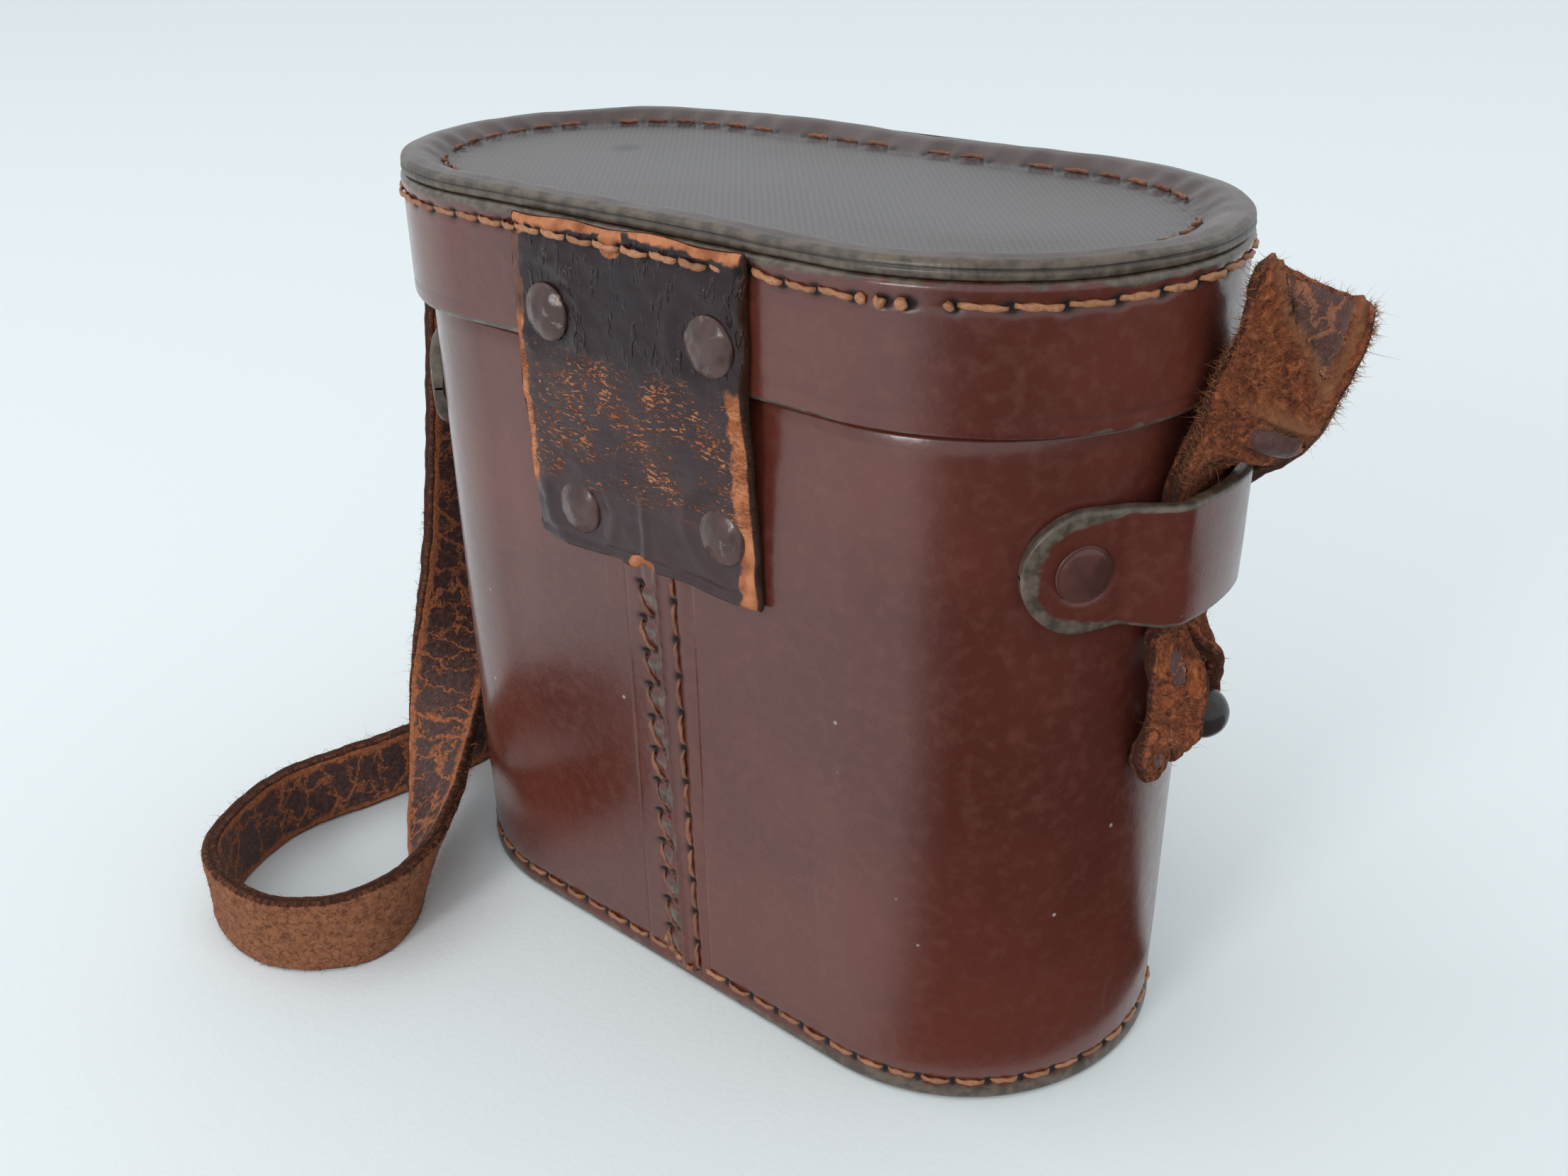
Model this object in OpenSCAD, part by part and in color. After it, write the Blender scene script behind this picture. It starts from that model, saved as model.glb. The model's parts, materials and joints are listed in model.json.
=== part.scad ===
// Hard leather case for a small pair of binoculars, closed, with its shoulder strap.
// Millimetres. The base rests on z = 0, the hinge side faces -Y and the closure side +Y.

/* [Case body] */
// Length of the body across its two rounded ends
body_length = 140; // [132:1:156]
// Depth of the body from the hinge side to the closure side
body_depth = 67; // [64:1:74]
// Height of the closed case from the floor to the crest of the lid
case_height = 135; // [130:1:150]
// Thickness of the body leather
wall_thickness = 2.2; // [1.8:0.1:2.6]
// How far the thin mouth of the body rises inside the lid
mouth_height = 9.5; // [7:0.5:10]
// Thickness of the stacked leather base
base_thickness = 4.5; // [3:0.5:6]

/* [Lid] */
// Height of the lid from its lower edge to the crest
lid_height = 22.5; // [21:0.5:26]
// How far the outside of the lid stands out from the body
skirt_step = 2.5; // [2.3:0.1:3]
// Thickness of the leather of the lid top
top_thickness = 2.8; // [2.2:0.1:3.2]
// Depth of the sunk panel below the crest
panel_sink = 2.5; // [1.5:0.25:3]

/* [Hinge flap and closure tab] */
// Width of the hinge flap
flap_width = 45; // [36:1:50]
// Length of the hinge flap from top to bottom
flap_length = 52; // [48:1:56]
// Thickness of the flap, tab and loop leather
flap_thickness = 2.2; // [1.8:0.1:2.6]
// Width of the closure tab
tab_width = 18; // [14:1:24]
// Free length of the closure tab below the lid
tab_length = 38; // [34:1:42]

/* [Metal fittings] */
// Diameter of the domed hinge rivets
rivet_head = 8.6; // [7:0.2:10]
// Diameter of the ball of the button studs
stud_ball = 7.5; // [6.5:0.25:8]
// Height of the side studs above the floor
stud_height = 67; // [60:1:72]

/* [Strap loops and strap] */
// Height of the middle of the side loops above the floor
loop_height = 93; // [90:1:96]
// Width of the side loops, top to bottom
loop_width = 18; // [16:1:22]
// Width of the shoulder strap
strap_width = 15; // [12:1:15]
// Thickness of the shoulder strap
strap_thickness = 3; // [2:0.25:3]

/* [Stitching] */
// Distance between neighbouring stitches
stitch_pitch = 5.6; // [4.5:0.1:8]
// Thickness of the waxed thread
thread = 1; // [0.8:0.1:1.2]

/* [Hidden] */
$fn = 64;

// Plan of the case: two straight sides joined by two half circles.
end_radius = body_depth / 2;
half_flat = body_length / 2 - end_radius;
end_arc = PI * end_radius;
perimeter = 4 * half_flat + 2 * end_arc;
skirt_z = case_height - lid_height;
mouth_z = skirt_z + mouth_height;
mouth_inset = 0.8;
fit_gap = 0.3;
lining = 0.8;
crest_z = case_height;
skirt_top_z = crest_z - top_thickness;
panel_z = crest_z - panel_sink;
flap_x = 2;
flap_low_z = skirt_top_z - 0.7 - flap_length;
flap_top_z = skirt_top_z - 0.7;
lid_face = end_radius + skirt_step;
axis_y = lid_face + flap_thickness;
upper_rivet_z = skirt_z + 6.8;
lower_rivet_z = flap_low_z + 9;
shank = 3;
washer_d = 7;
washer_t = 0.6;
seam_x = 2.2;
tab_lean = 17;
stud_neck = 3;
front_stud_z = skirt_z - 28.5;
loop_reach = 4.2;
loop_corner = 5;
loop_half = 11;
rivet_angle = 57.5;
stitch_z = crest_z - 6.3;
base_stitch_z = 3;

// Filled plan outline, moved outward by off.
module plan(off) {
  square([2 * half_flat, 2 * (end_radius + off)], center = true);
  translate([half_flat, 0]) circle(r = end_radius + off);
  translate([-half_flat, 0]) circle(r = end_radius + off);
}

// Upright wall between two outline offsets and two heights.
module wall(inner, outer, z0, z1) {
  translate([0, 0, z0]) linear_extrude(height = z1 - z0) difference() {
    plan(outer);
    plan(inner);
  }
}

// Flat slab of the plan shape between two heights.
module slab(off, z0, z1) {
  translate([0, 0, z0]) linear_extrude(height = z1 - z0) plan(off);
}

// Sweep of a profile (outward distance, height) right round the plan.
module around() {
  for (turn = [0, 180]) {
    rotate([0, 0, turn]) translate([half_flat, 0, 0]) rotate([0, 0, -90])
      rotate_extrude(angle = 180) children();
    rotate([0, 0, turn]) rotate([90, 0, 90])
      linear_extrude(height = 2 * half_flat, center = true) children();
  }
}

// Place children on the outside of the body: s runs round the plan from the middle
// of the hinge side toward +X, local +Z points outward and local +Y up.
module on_wall(s, z, off = 0) {
  if (s <= half_flat) {
    translate([s, -end_radius - off, z]) rotate([90, 0, 0]) children();
  } else if (s <= half_flat + end_arc) {
    translate([half_flat, 0, z]) rotate([0, 0, (s - half_flat) / end_arc * 180])
      translate([0, -end_radius - off, 0]) rotate([90, 0, 0]) children();
  } else if (s <= 3 * half_flat + end_arc) {
    translate([2 * half_flat + end_arc - s, end_radius + off, z]) rotate([90, 0, 180]) children();
  } else if (s <= 3 * half_flat + 2 * end_arc) {
    translate([-half_flat, 0, z]) rotate([0, 0, 180 + (s - 3 * half_flat - end_arc) / end_arc * 180])
      translate([0, -end_radius - off, 0]) rotate([90, 0, 0]) children();
  } else {
    translate([s - perimeter, -end_radius - off, z]) rotate([90, 0, 0]) children();
  }
}

// Spherical cap of diameter d and height h on the plane z = 0.
module cap(d, h) {
  ball = (d * d / 4 + h * h) / (2 * h);
  intersection() {
    translate([0, 0, h - ball]) sphere(r = ball);
    cylinder(h = h + 1, d = d + 1);
  }
}

// Rivet with its head on z = 0 and its shank reaching depth below.
module rivet(d, h, depth) {
  cap(d, h);
  translate([0, 0, -depth]) cylinder(h = depth + h / 2, d = shank);
}

// Washer whose upper face is at the given depth below z = 0.
module washer(depth) {
  translate([0, 0, -depth - washer_t]) difference() {
    cylinder(h = washer_t, d = washer_d);
    translate([0, 0, -1]) cylinder(h = washer_t + 2, d = shank + 0.1);
  }
}

// Hole for a rivet shank with a seat for its washer at the bottom of the leather.
module rivet_hole(depth) {
  translate([0, 0, -depth - 1]) cylinder(h = depth + 4, d = shank + 0.1);
  translate([0, 0, -depth - 1]) cylinder(h = washer_t + 1, d = washer_d + 0.2);
}

// Button stud: ball on a neck with a small foot plate on z = 0.
module stud() {
  translate([0, 0, stud_neck + stud_ball / 2]) sphere(d = stud_ball);
  translate([0, 0, -wall_thickness]) cylinder(h = wall_thickness + stud_neck + 1, d = shank);
  cylinder(h = 0.6, d = 6.4);
}

// Positions of the fittings along the outline and in height.
hinge_x = [flap_x - 16, flap_x + 16];
loop_s = [half_flat + end_arc * rivet_angle / 180, half_flat + end_arc * (1 - rivet_angle / 180)];
loop_s_left = [perimeter - loop_s[0], perimeter - loop_s[1]];
stud_s_right = half_flat + end_arc / 2;
stud_s_left = perimeter - stud_s_right;
stud_s_front = perimeter / 2;

// All holes through the body wall.
module body_holes() {
  for (x = hinge_x) on_wall(x + (x < 0 ? perimeter : 0), lower_rivet_z) rivet_hole(wall_thickness);
  for (s = loop_s) on_wall(s, loop_height) rivet_hole(wall_thickness);
  for (s = loop_s_left) on_wall(s, loop_height) rivet_hole(wall_thickness);
  on_wall(stud_s_right, stud_height) rivet_hole(wall_thickness);
  on_wall(stud_s_left, stud_height) rivet_hole(wall_thickness);
  on_wall(stud_s_front, front_stud_z) rivet_hole(wall_thickness);
}

module body_wall() color([0.33, 0.17, 0.14]) difference() {
  union() {
    wall(-wall_thickness, 0, 0, skirt_z - 0.7);
    wall(-wall_thickness, -mouth_inset, skirt_z - 0.7, mouth_z);
  }
  body_holes();
  translate([seam_x - 0.1, -end_radius - 1, -1]) cube([0.2, wall_thickness + 2, mouth_z + 2]);
}

module base_plate() color([0.36, 0.22, 0.16]) slab(-wall_thickness, 0, base_thickness);

module base_lining() color([0.45, 0.16, 0.16]) slab(-wall_thickness - lining, base_thickness, base_thickness + lining);

module body_lining() color([0.45, 0.16, 0.16]) difference() {
  wall(-wall_thickness - lining, -wall_thickness, base_thickness, mouth_z);
  translate([seam_x - 7, -end_radius, 0]) cube([14, end_radius / 2, mouth_z + 1]);
}

module seam_strip() color([0.3, 0.15, 0.12])
  translate([seam_x - 7, -end_radius + wall_thickness, base_thickness]) cube([14, lining, mouth_z - base_thickness]);

// One stitch lying along local X, half sunk in the leather.
module stitch(long) {
  translate([-long / 2, 0, 0.1]) rotate([0, 90, 0]) cylinder(h = long, d = thread, $fn = 16);
}

// Row of stitches right round the plan at height z and outline offset off.
module stitch_row(z, off) {
  count = round(perimeter / stitch_pitch);
  for (i = [0 : count - 1]) on_wall((i + 0.5) * perimeter / count, z, off) stitch(stitch_pitch * 0.72);
}

module base_stitching() color([0.72, 0.5, 0.3]) stitch_row(base_stitch_z, 0);

// Upright row of stitches beside the back seam.
module seam_row(x, lean) {
  for (z = [8 : stitch_pitch : flap_low_z - 3]) on_wall(x + (x < 0 ? perimeter : 0), z)
    rotate([0, 0, 90 + lean]) stitch(stitch_pitch * 0.72);
}

module seam_stitching_left() color([0.6, 0.38, 0.28]) seam_row(-1.6, 25);

module seam_stitching_right() color([0.6, 0.38, 0.28]) seam_row(5.4, 0);

// Lower half of the hinge flap, on the body and bending out to the hinge line.
module hinge_flap_lower() color([0.2, 0.13, 0.13]) difference() {
  translate([flap_x, 0, 0]) rotate([90, 0, 90]) linear_extrude(height = flap_width, center = true)
    polygon([[-end_radius, flap_low_z], [-end_radius, skirt_z - 7], [-lid_face, skirt_z - 1.2],
      [-lid_face, skirt_z - 0.2], [-axis_y, skirt_z - 0.2], [-axis_y, skirt_z - 1.6],
      [-end_radius - flap_thickness, skirt_z - 7.6], [-end_radius - flap_thickness, flap_low_z]]);
  for (x = hinge_x) on_wall(x + (x < 0 ? perimeter : 0), lower_rivet_z, flap_thickness)
    translate([0, 0, -4]) cylinder(h = 6, d = shank + 0.1);
}

module hinge_rivets_lower() color([0.25, 0.2, 0.18]) for (x = hinge_x)
  on_wall(x + (x < 0 ? perimeter : 0), lower_rivet_z, flap_thickness) rivet(rivet_head, 1.8, flap_thickness + wall_thickness);

module hinge_washers_lower() color([0.5, 0.4, 0.28]) for (x = hinge_x)
  on_wall(x + (x < 0 ? perimeter : 0), lower_rivet_z) washer(wall_thickness - washer_t);

// Plan of the space under a side loop, grown outward by grow.
module loop_plan(grow) {
  circle(r = end_radius + grow);
  reach = end_radius + loop_reach + grow;
  corner = loop_corner + grow;
  wide = loop_half + grow;
  translate([0, -wide + corner]) square([reach, 2 * (wide - corner)]);
  translate([0, -wide]) square([reach - corner, 2 * wide]);
  translate([reach - corner, wide - corner]) circle(r = corner);
  translate([reach - corner, corner - wide]) circle(r = corner);
}

// Side loop on the right end: flat under both rivets and raised over the strap.
module side_loop() translate([half_flat, 0, loop_height]) intersection() {
  difference() {
    translate([0, 0, -loop_width / 2]) linear_extrude(height = loop_width) difference() {
      loop_plan(flap_thickness);
      loop_plan(0);
    }
    for (side = [-1, 1]) rotate([0, 0, side * (90 - rivet_angle)]) rotate([0, 90, 0]) {
      cylinder(h = end_radius + 9, d = shank + 0.1);
      translate([0, 0, end_radius + flap_thickness - 0.5]) cylinder(h = 3, d = rivet_head + 0.1);
    }
  }
  union() {
    translate([end_radius * cos(90 - rivet_angle), -end_radius, -loop_width])
      cube([end_radius, body_depth, 2 * loop_width]);
    for (side = [-1, 1]) rotate([0, 0, side * (90 - rivet_angle)]) rotate([0, 90, 0])
      translate([0, 0, end_radius - 3]) cylinder(h = 9, d = loop_width + 1);
  }
}

module loop_right() color([0.3, 0.15, 0.13]) side_loop();

module loop_left() color([0.3, 0.15, 0.13]) rotate([0, 0, 180]) side_loop();

module loop_rivets_right() color([0.25, 0.17, 0.16]) for (s = loop_s)
  on_wall(s, loop_height, flap_thickness - 0.5) rivet(rivet_head - 0.2, 1.1, wall_thickness + flap_thickness - 0.5);

module loop_rivets_left() color([0.25, 0.17, 0.16]) for (s = loop_s_left)
  on_wall(s, loop_height, flap_thickness - 0.5) rivet(rivet_head - 0.2, 1.1, wall_thickness + flap_thickness - 0.5);

module loop_washers() color([0.5, 0.4, 0.28]) for (s = concat(loop_s, loop_s_left))
  on_wall(s, loop_height) washer(wall_thickness - washer_t);

module stud_right() color([0.2, 0.18, 0.16]) on_wall(stud_s_right, stud_height) stud();

module stud_left() color([0.2, 0.18, 0.16]) on_wall(stud_s_left, stud_height) stud();

module stud_front() color([0.2, 0.18, 0.16]) on_wall(stud_s_front, front_stud_z) stud();

module stud_washers() color([0.5, 0.4, 0.28]) {
  on_wall(stud_s_right, stud_height) washer(wall_thickness - washer_t);
  on_wall(stud_s_left, stud_height) washer(wall_thickness - washer_t);
  on_wall(stud_s_front, front_stud_z) washer(wall_thickness - washer_t);
}

// Upright band of the lid, sliding over the mouth of the body.
module lid_skirt() color([0.34, 0.18, 0.15]) difference() {
  wall(fit_gap, skirt_step, skirt_z, skirt_top_z);
  for (x = hinge_x) on_wall(x + (x < 0 ? perimeter : 0), upper_rivet_z, skirt_step) rivet_hole(skirt_step - fit_gap);
  on_wall(stud_s_front, upper_rivet_z, skirt_step) rivet_hole(skirt_step - fit_gap);
}

// Lid top: sunk panel with a sloping raised border and a rounded crest.
module lid_top() color([0.45, 0.42, 0.42]) {
  in = end_radius - 6;
  out = end_radius + skirt_step - 0.2;
  slab(-5.9, panel_z - top_thickness, panel_z);
  around() polygon([[in, panel_z - top_thickness], [in, panel_z], [in + 1, panel_z],
    [out - 3.4, crest_z - 0.2], [out - 2.4, crest_z], [out - 1, crest_z], [out - 0.3, crest_z - 0.3],
    [out, crest_z - 1], [out, skirt_top_z + 0.4], [out - 0.2, skirt_top_z],
    [out - 2.4, skirt_top_z], [out - 5.5, panel_z - top_thickness]]);
}

module lid_lining() color([0.45, 0.16, 0.16]) slab(-3.6, panel_z - top_thickness - lining, panel_z - top_thickness);

// The outer row runs over the hinge flap and the root of the closure tab.
function over_leather(s) =
  (min(abs(s - flap_x), abs(s - perimeter - flap_x)) < flap_width / 2 - 1 ||
    abs(s - perimeter / 2) < tab_width / 2 - 1) ? flap_thickness : 0;

module lid_stitching_outer() color([0.76, 0.55, 0.33]) {
  count = round(perimeter / stitch_pitch);
  for (i = [0 : count - 1]) let (s = (i + 0.5) * perimeter / count)
    on_wall(s, stitch_z, skirt_step + over_leather(s)) stitch(stitch_pitch * 0.72);
}

module lid_stitching_inner() color([0.66, 0.44, 0.28]) {
  count = round(perimeter / stitch_pitch);
  for (i = [0 : count - 1]) on_wall((i + 0.5) * perimeter / count, panel_z + 0.6, -4)
    stitch(stitch_pitch * 0.6);
}

// Upper half of the hinge flap, on the outside of the lid skirt.
module hinge_flap_upper() color([0.2, 0.13, 0.13]) difference() {
  translate([flap_x - flap_width / 2, -axis_y, skirt_z]) cube([flap_width, flap_thickness, flap_top_z - skirt_z]);
  for (x = hinge_x) on_wall(x + (x < 0 ? perimeter : 0), upper_rivet_z, skirt_step + flap_thickness)
    translate([0, 0, -4]) cylinder(h = 6, d = shank + 0.1);
}

module hinge_rivets_upper() color([0.25, 0.2, 0.18]) for (x = hinge_x)
  on_wall(x + (x < 0 ? perimeter : 0), upper_rivet_z, skirt_step + flap_thickness)
    rivet(rivet_head, 1.8, flap_thickness + skirt_step - fit_gap);

module hinge_washers_upper() color([0.5, 0.4, 0.28]) for (x = hinge_x)
  on_wall(x + (x < 0 ? perimeter : 0), upper_rivet_z, skirt_step) washer(skirt_step - fit_gap - washer_t);

// Upper end of the closure tab, riveted and sewn to the front of the lid.
module closure_tab_root() color([0.25, 0.14, 0.12]) difference() {
  translate([-tab_width / 2, lid_face, skirt_z]) cube([tab_width, flap_thickness, flap_top_z - skirt_z]);
  on_wall(stud_s_front, upper_rivet_z, skirt_step + flap_thickness)
    translate([0, 0, -4]) cylinder(h = 6, d = shank + 0.1);
}

module closure_rivet() color([0.25, 0.2, 0.18]) on_wall(stud_s_front, upper_rivet_z, skirt_step + flap_thickness)
  rivet(rivet_head, 1.8, flap_thickness + skirt_step - fit_gap);

module closure_washer() color([0.5, 0.4, 0.28]) on_wall(stud_s_front, upper_rivet_z, skirt_step)
  washer(skirt_step - fit_gap - washer_t);

// Free end of the closure tab, unbuttoned and standing a little away from its stud.
module closure_tab() color([0.25, 0.14, 0.12])
  translate([0, axis_y, skirt_z - 0.2]) rotate([tab_lean, 0, 0]) difference() {
    union() {
      translate([-tab_width / 2, -flap_thickness, -tab_length + tab_width / 2])
        cube([tab_width, flap_thickness, tab_length - tab_width / 2]);
      translate([0, 0, -tab_length + tab_width / 2]) rotate([90, 0, 0]) cylinder(h = flap_thickness, d = tab_width);
    }
    translate([0, 1, -28.5]) rotate([90, 0, 0]) cylinder(h = flap_thickness + 2, d = 4.5);
    translate([-0.5, -flap_thickness - 1, -28.5]) cube([1, flap_thickness + 2, 8]);
    translate([-tab_width, -flap_thickness - 1, 0]) cube([2 * tab_width, 6, 3]);
  }

// Middle line of the strap and the direction of its width, from the right stud through
// the right loop, folded over, down behind the case, put away in three runs on edge,
// round to the left, through the floor loop and up to the left stud.
across = [0, 1, 0];
back = [0, -1, 0];
down = [0, 0, -1];
strap_line = [
  [[71.9, 0, 56], across], [[71.9, 0, 70], across], [[71.9, 0, 84], across], [[71.9, 0, 98], across],
  [[72.2, 0, 103.2], [0.05, 1, 0]], [[77.8, 0, 110], [0.6, 0.75, -0.3]], [[80.7, 0, 115.8], [0.8, 0.43, -0.4]],
  [[82.9, 0, 122], [0.8, 0.43, -0.4]], [[83.5, 0.4, 126], [0.8, 0.43, -0.4]],
  [[83.4, 1.9, 128.3], [0.8, 0.43, -0.4]], [[82, 3.5, 127.2], [0.8, 0.43, -0.4]],
  [[81.6, 6, 121], [0.6, -0.05, -0.75]], [[80, 10, 114.5], [0.6, -0.4, -0.7]],
  [[76.5, 15.5, 108.5], [0.4, -0.5, -0.75]],
  [[70.5, 23, 102], [0.25, -0.6, -0.7]], [[63, 32, 94], [0.35, -0.6, -0.7]],
  [[54, 40, 82], [0.5, -0.45, -0.7]], [[46, 45, 64], [0.7, -0.2, -0.6]], [[39, 48, 44], [0.85, 0, -0.5]],
  [[31, 50.5, 22], [0.7, 0, -0.7]], [[18, 52, 9], [0.2, 0, -1]], [[0, 52, 7.6], down],
  [[-40, 52, 7.6], down], [[-54, 55, 7.6], down], [[-54, 63, 7.6], down],
  [[-40, 66, 7.6], down], [[0, 66, 7.6], down], [[13, 69, 7.6], down],
  [[13, 77, 7.6], down], [[0, 80, 7.6], down], [[-40, 80, 7.6], down],
  [[-76, 70, 7.6], down], [[-90, 45, 7.6], down], [[-84, 15, 7.6], down],
  [[-80, -12, 7.6], down], [[-84, -34, 7.6], down], [[-88, -56, 7.6], down],
  [[-78, -76, 7.6], down], [[-58, -79, 7.6], down], [[-45, -68, 7.6], down],
  [[-47, -53, 8], [-0.2, -0.2, -1]], [[-62, -37, 10.5], [-0.6, -0.4, -0.6]],
  [[-75, -23, 21], [-0.5, -0.8, -0.4]], [[-80, -14, 42], [-0.1, -1, -0.3]], [[-80, -8.5, 70], back],
  [[-79, -5, 98], back], [[-79.3, -3, 112], back], [[-77.5, -2, 117], back], [[-75.5, -1, 112.5], back],
  [[-71.95, 0, 103.5], back], [[-71.9, 0, 84], back], [[-71.9, 0, 70], back], [[-71.9, 0, 56], back]];
ring_steps = 1;

// Smooth value between four neighbouring values.
function smooth(a, b, c, d, t) = 0.5 * (2 * b + (c - a) * t + (2 * a - 5 * b + 4 * c - d) * t * t
  + (3 * b - 3 * c + d - a) * t * t * t);
function unit(v) = v / norm(v);
function clamp(i) = min(max(i, 0), len(strap_line) - 1);
last_ring = (len(strap_line) - 1) * ring_steps;
function pick(j, part) = let (i = floor(j / ring_steps), t = j / ring_steps - i)
  smooth(strap_line[clamp(i - 1)][part], strap_line[clamp(i)][part],
    strap_line[clamp(i + 1)][part], strap_line[clamp(i + 2)][part], t);
function middle(j) = pick(min(max(j, 0), last_ring), 0);
function along(j) = unit(middle(j + 1) - middle(j - 1));
function width_way(j) = let (t = along(j), w = pick(j, 1)) unit(w - (w * t) * t);
corners = [[0.5, 0.3], [0.47, 0.5], [-0.47, 0.5], [-0.5, 0.3], [-0.5, -0.3], [-0.47, -0.5], [0.47, -0.5], [0.5, -0.3]];

module shoulder_strap() color([0.45, 0.25, 0.14]) {
  points = [for (j = [0 : last_ring]) let (m = middle(j), w = width_way(j), n = cross(along(j), w))
    for (c = corners) m + w * c[0] * strap_width + n * c[1] * strap_thickness];
  k = len(corners);
  sides = [for (j = [0 : last_ring - 1]) for (i = [0 : k - 1])
    for (f = [[j * k + i, (j + 1) * k + i, (j + 1) * k + (i + 1) % k],
              [j * k + i, (j + 1) * k + (i + 1) % k, j * k + (i + 1) % k]]) f];
  start = [for (i = [0 : k - 1]) i];
  finish = [for (i = [k - 1 : -1 : 0]) last_ring * k + i];
  polyhedron(points, concat(sides, [start], [finish]));
}

body_wall();
base_plate();
base_lining();
body_lining();
seam_strip();
base_stitching();
seam_stitching_left();
seam_stitching_right();
hinge_flap_lower();
hinge_rivets_lower();
hinge_washers_lower();
loop_left();
loop_right();
loop_rivets_left();
loop_rivets_right();
loop_washers();
stud_left();
stud_right();
stud_front();
stud_washers();
lid_skirt();
lid_top();
lid_lining();
lid_stitching_outer();
lid_stitching_inner();
hinge_flap_upper();
hinge_rivets_upper();
hinge_washers_upper();
closure_tab_root();
closure_rivet();
closure_washer();
closure_tab();
shoulder_strap();
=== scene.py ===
# Hard leather case for a small pair of binoculars, with its shoulder strap.
# Metres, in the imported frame: base on z = 0, hinge side facing -Y, closure side +Y.
import json
import math
import bmesh
import bpy
import numpy as np
from mathutils import Matrix, Vector


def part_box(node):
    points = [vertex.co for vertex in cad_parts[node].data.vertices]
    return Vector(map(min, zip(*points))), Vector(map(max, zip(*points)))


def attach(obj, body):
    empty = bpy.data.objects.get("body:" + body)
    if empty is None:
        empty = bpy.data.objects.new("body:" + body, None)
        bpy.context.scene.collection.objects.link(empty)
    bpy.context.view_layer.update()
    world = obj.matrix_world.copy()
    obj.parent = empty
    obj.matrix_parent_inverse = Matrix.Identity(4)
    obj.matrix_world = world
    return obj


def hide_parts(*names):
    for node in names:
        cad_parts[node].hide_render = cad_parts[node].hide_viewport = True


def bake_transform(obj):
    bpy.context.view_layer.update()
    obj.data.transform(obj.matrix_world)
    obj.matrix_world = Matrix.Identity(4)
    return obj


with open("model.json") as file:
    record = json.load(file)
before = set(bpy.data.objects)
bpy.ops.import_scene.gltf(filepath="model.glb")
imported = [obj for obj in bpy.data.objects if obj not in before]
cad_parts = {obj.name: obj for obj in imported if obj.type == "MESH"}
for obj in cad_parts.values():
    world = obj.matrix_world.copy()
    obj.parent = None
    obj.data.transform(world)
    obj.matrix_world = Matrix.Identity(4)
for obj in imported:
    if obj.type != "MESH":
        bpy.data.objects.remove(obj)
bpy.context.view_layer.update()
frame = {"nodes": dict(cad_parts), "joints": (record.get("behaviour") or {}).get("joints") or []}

mm = 0.001
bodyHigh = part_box("body_wall")[1]
skirtLow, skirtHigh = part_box("lid_skirt")
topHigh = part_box("lid_top")[1]
flapLow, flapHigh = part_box("hinge_flap_lower")
tabRootLow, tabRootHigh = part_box("closure_tab_root")
endRadius = bodyHigh.y
halfFlat = bodyHigh.x - endRadius
endArc = math.pi * endRadius
perimeter = 4 * halfFlat + 2 * endArc
skirtStep = skirtHigh.y - endRadius
joints = {j["name"]: Vector(j["pos_m"]) for j in frame["joints"]}
hingeLine, tabLine = joints["lid_hinge"], joints["tab_flex"]


# ---- camera
view = {"place": (0.149548, -0.174569, 0.178987), "azimuth": 40.943, "elevation": 26.865, "roll": -1.068,
        "lens": 33.91}


def placeCamera():
    # The camera looks along the azimuth and down by the elevation, then rolls about its own line of sight.
    az, el, roll = (math.radians(view[k]) for k in ("azimuth", "elevation", "roll"))
    ahead = Vector((-math.sin(az) * math.cos(el), math.cos(az) * math.cos(el), -math.sin(el)))
    right = ahead.cross(Vector((0, 0, 1))).normalized()
    up = right.cross(ahead)
    right, up = (right * math.cos(roll) + up * math.sin(roll), up * math.cos(roll) - right * math.sin(roll))
    camera = bpy.data.objects.new("camera", bpy.data.cameras.new("camera"))
    camera.data.lens = view["lens"]
    camera.data.sensor_width = 36
    camera.data.clip_start = 0.01
    camera.matrix_world = (Matrix.Translation(view["place"])
                           @ Matrix((right, up, -ahead)).transposed().to_4x4())
    bpy.context.scene.collection.objects.link(camera)
    bpy.context.scene.camera = camera


placeCamera()
print("camera placed")


# ---- the shader's own words
class Wire:
    # One value in a material. Adding, taking away or multiplying it adds a Math node.
    def __init__(self, shop, out):
        self.shop, self.out = shop, out

    def maths(self, operation, first, second):
        # first (operation) second, as one Math node.
        return self.shop.node("ShaderNodeMath", {"operation": operation}, {0: first, 1: second})

    def __add__(self, other):
        return self.maths("ADD", self, other)

    def __radd__(self, other):
        return self.maths("ADD", other, self)

    def __sub__(self, other):
        return self.maths("SUBTRACT", self, other)

    def __rsub__(self, other):
        return self.maths("SUBTRACT", other, self)

    def __mul__(self, other):
        return self.maths("MULTIPLY", self, other)

    def __rmul__(self, other):
        return self.maths("MULTIPLY", other, self)


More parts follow.
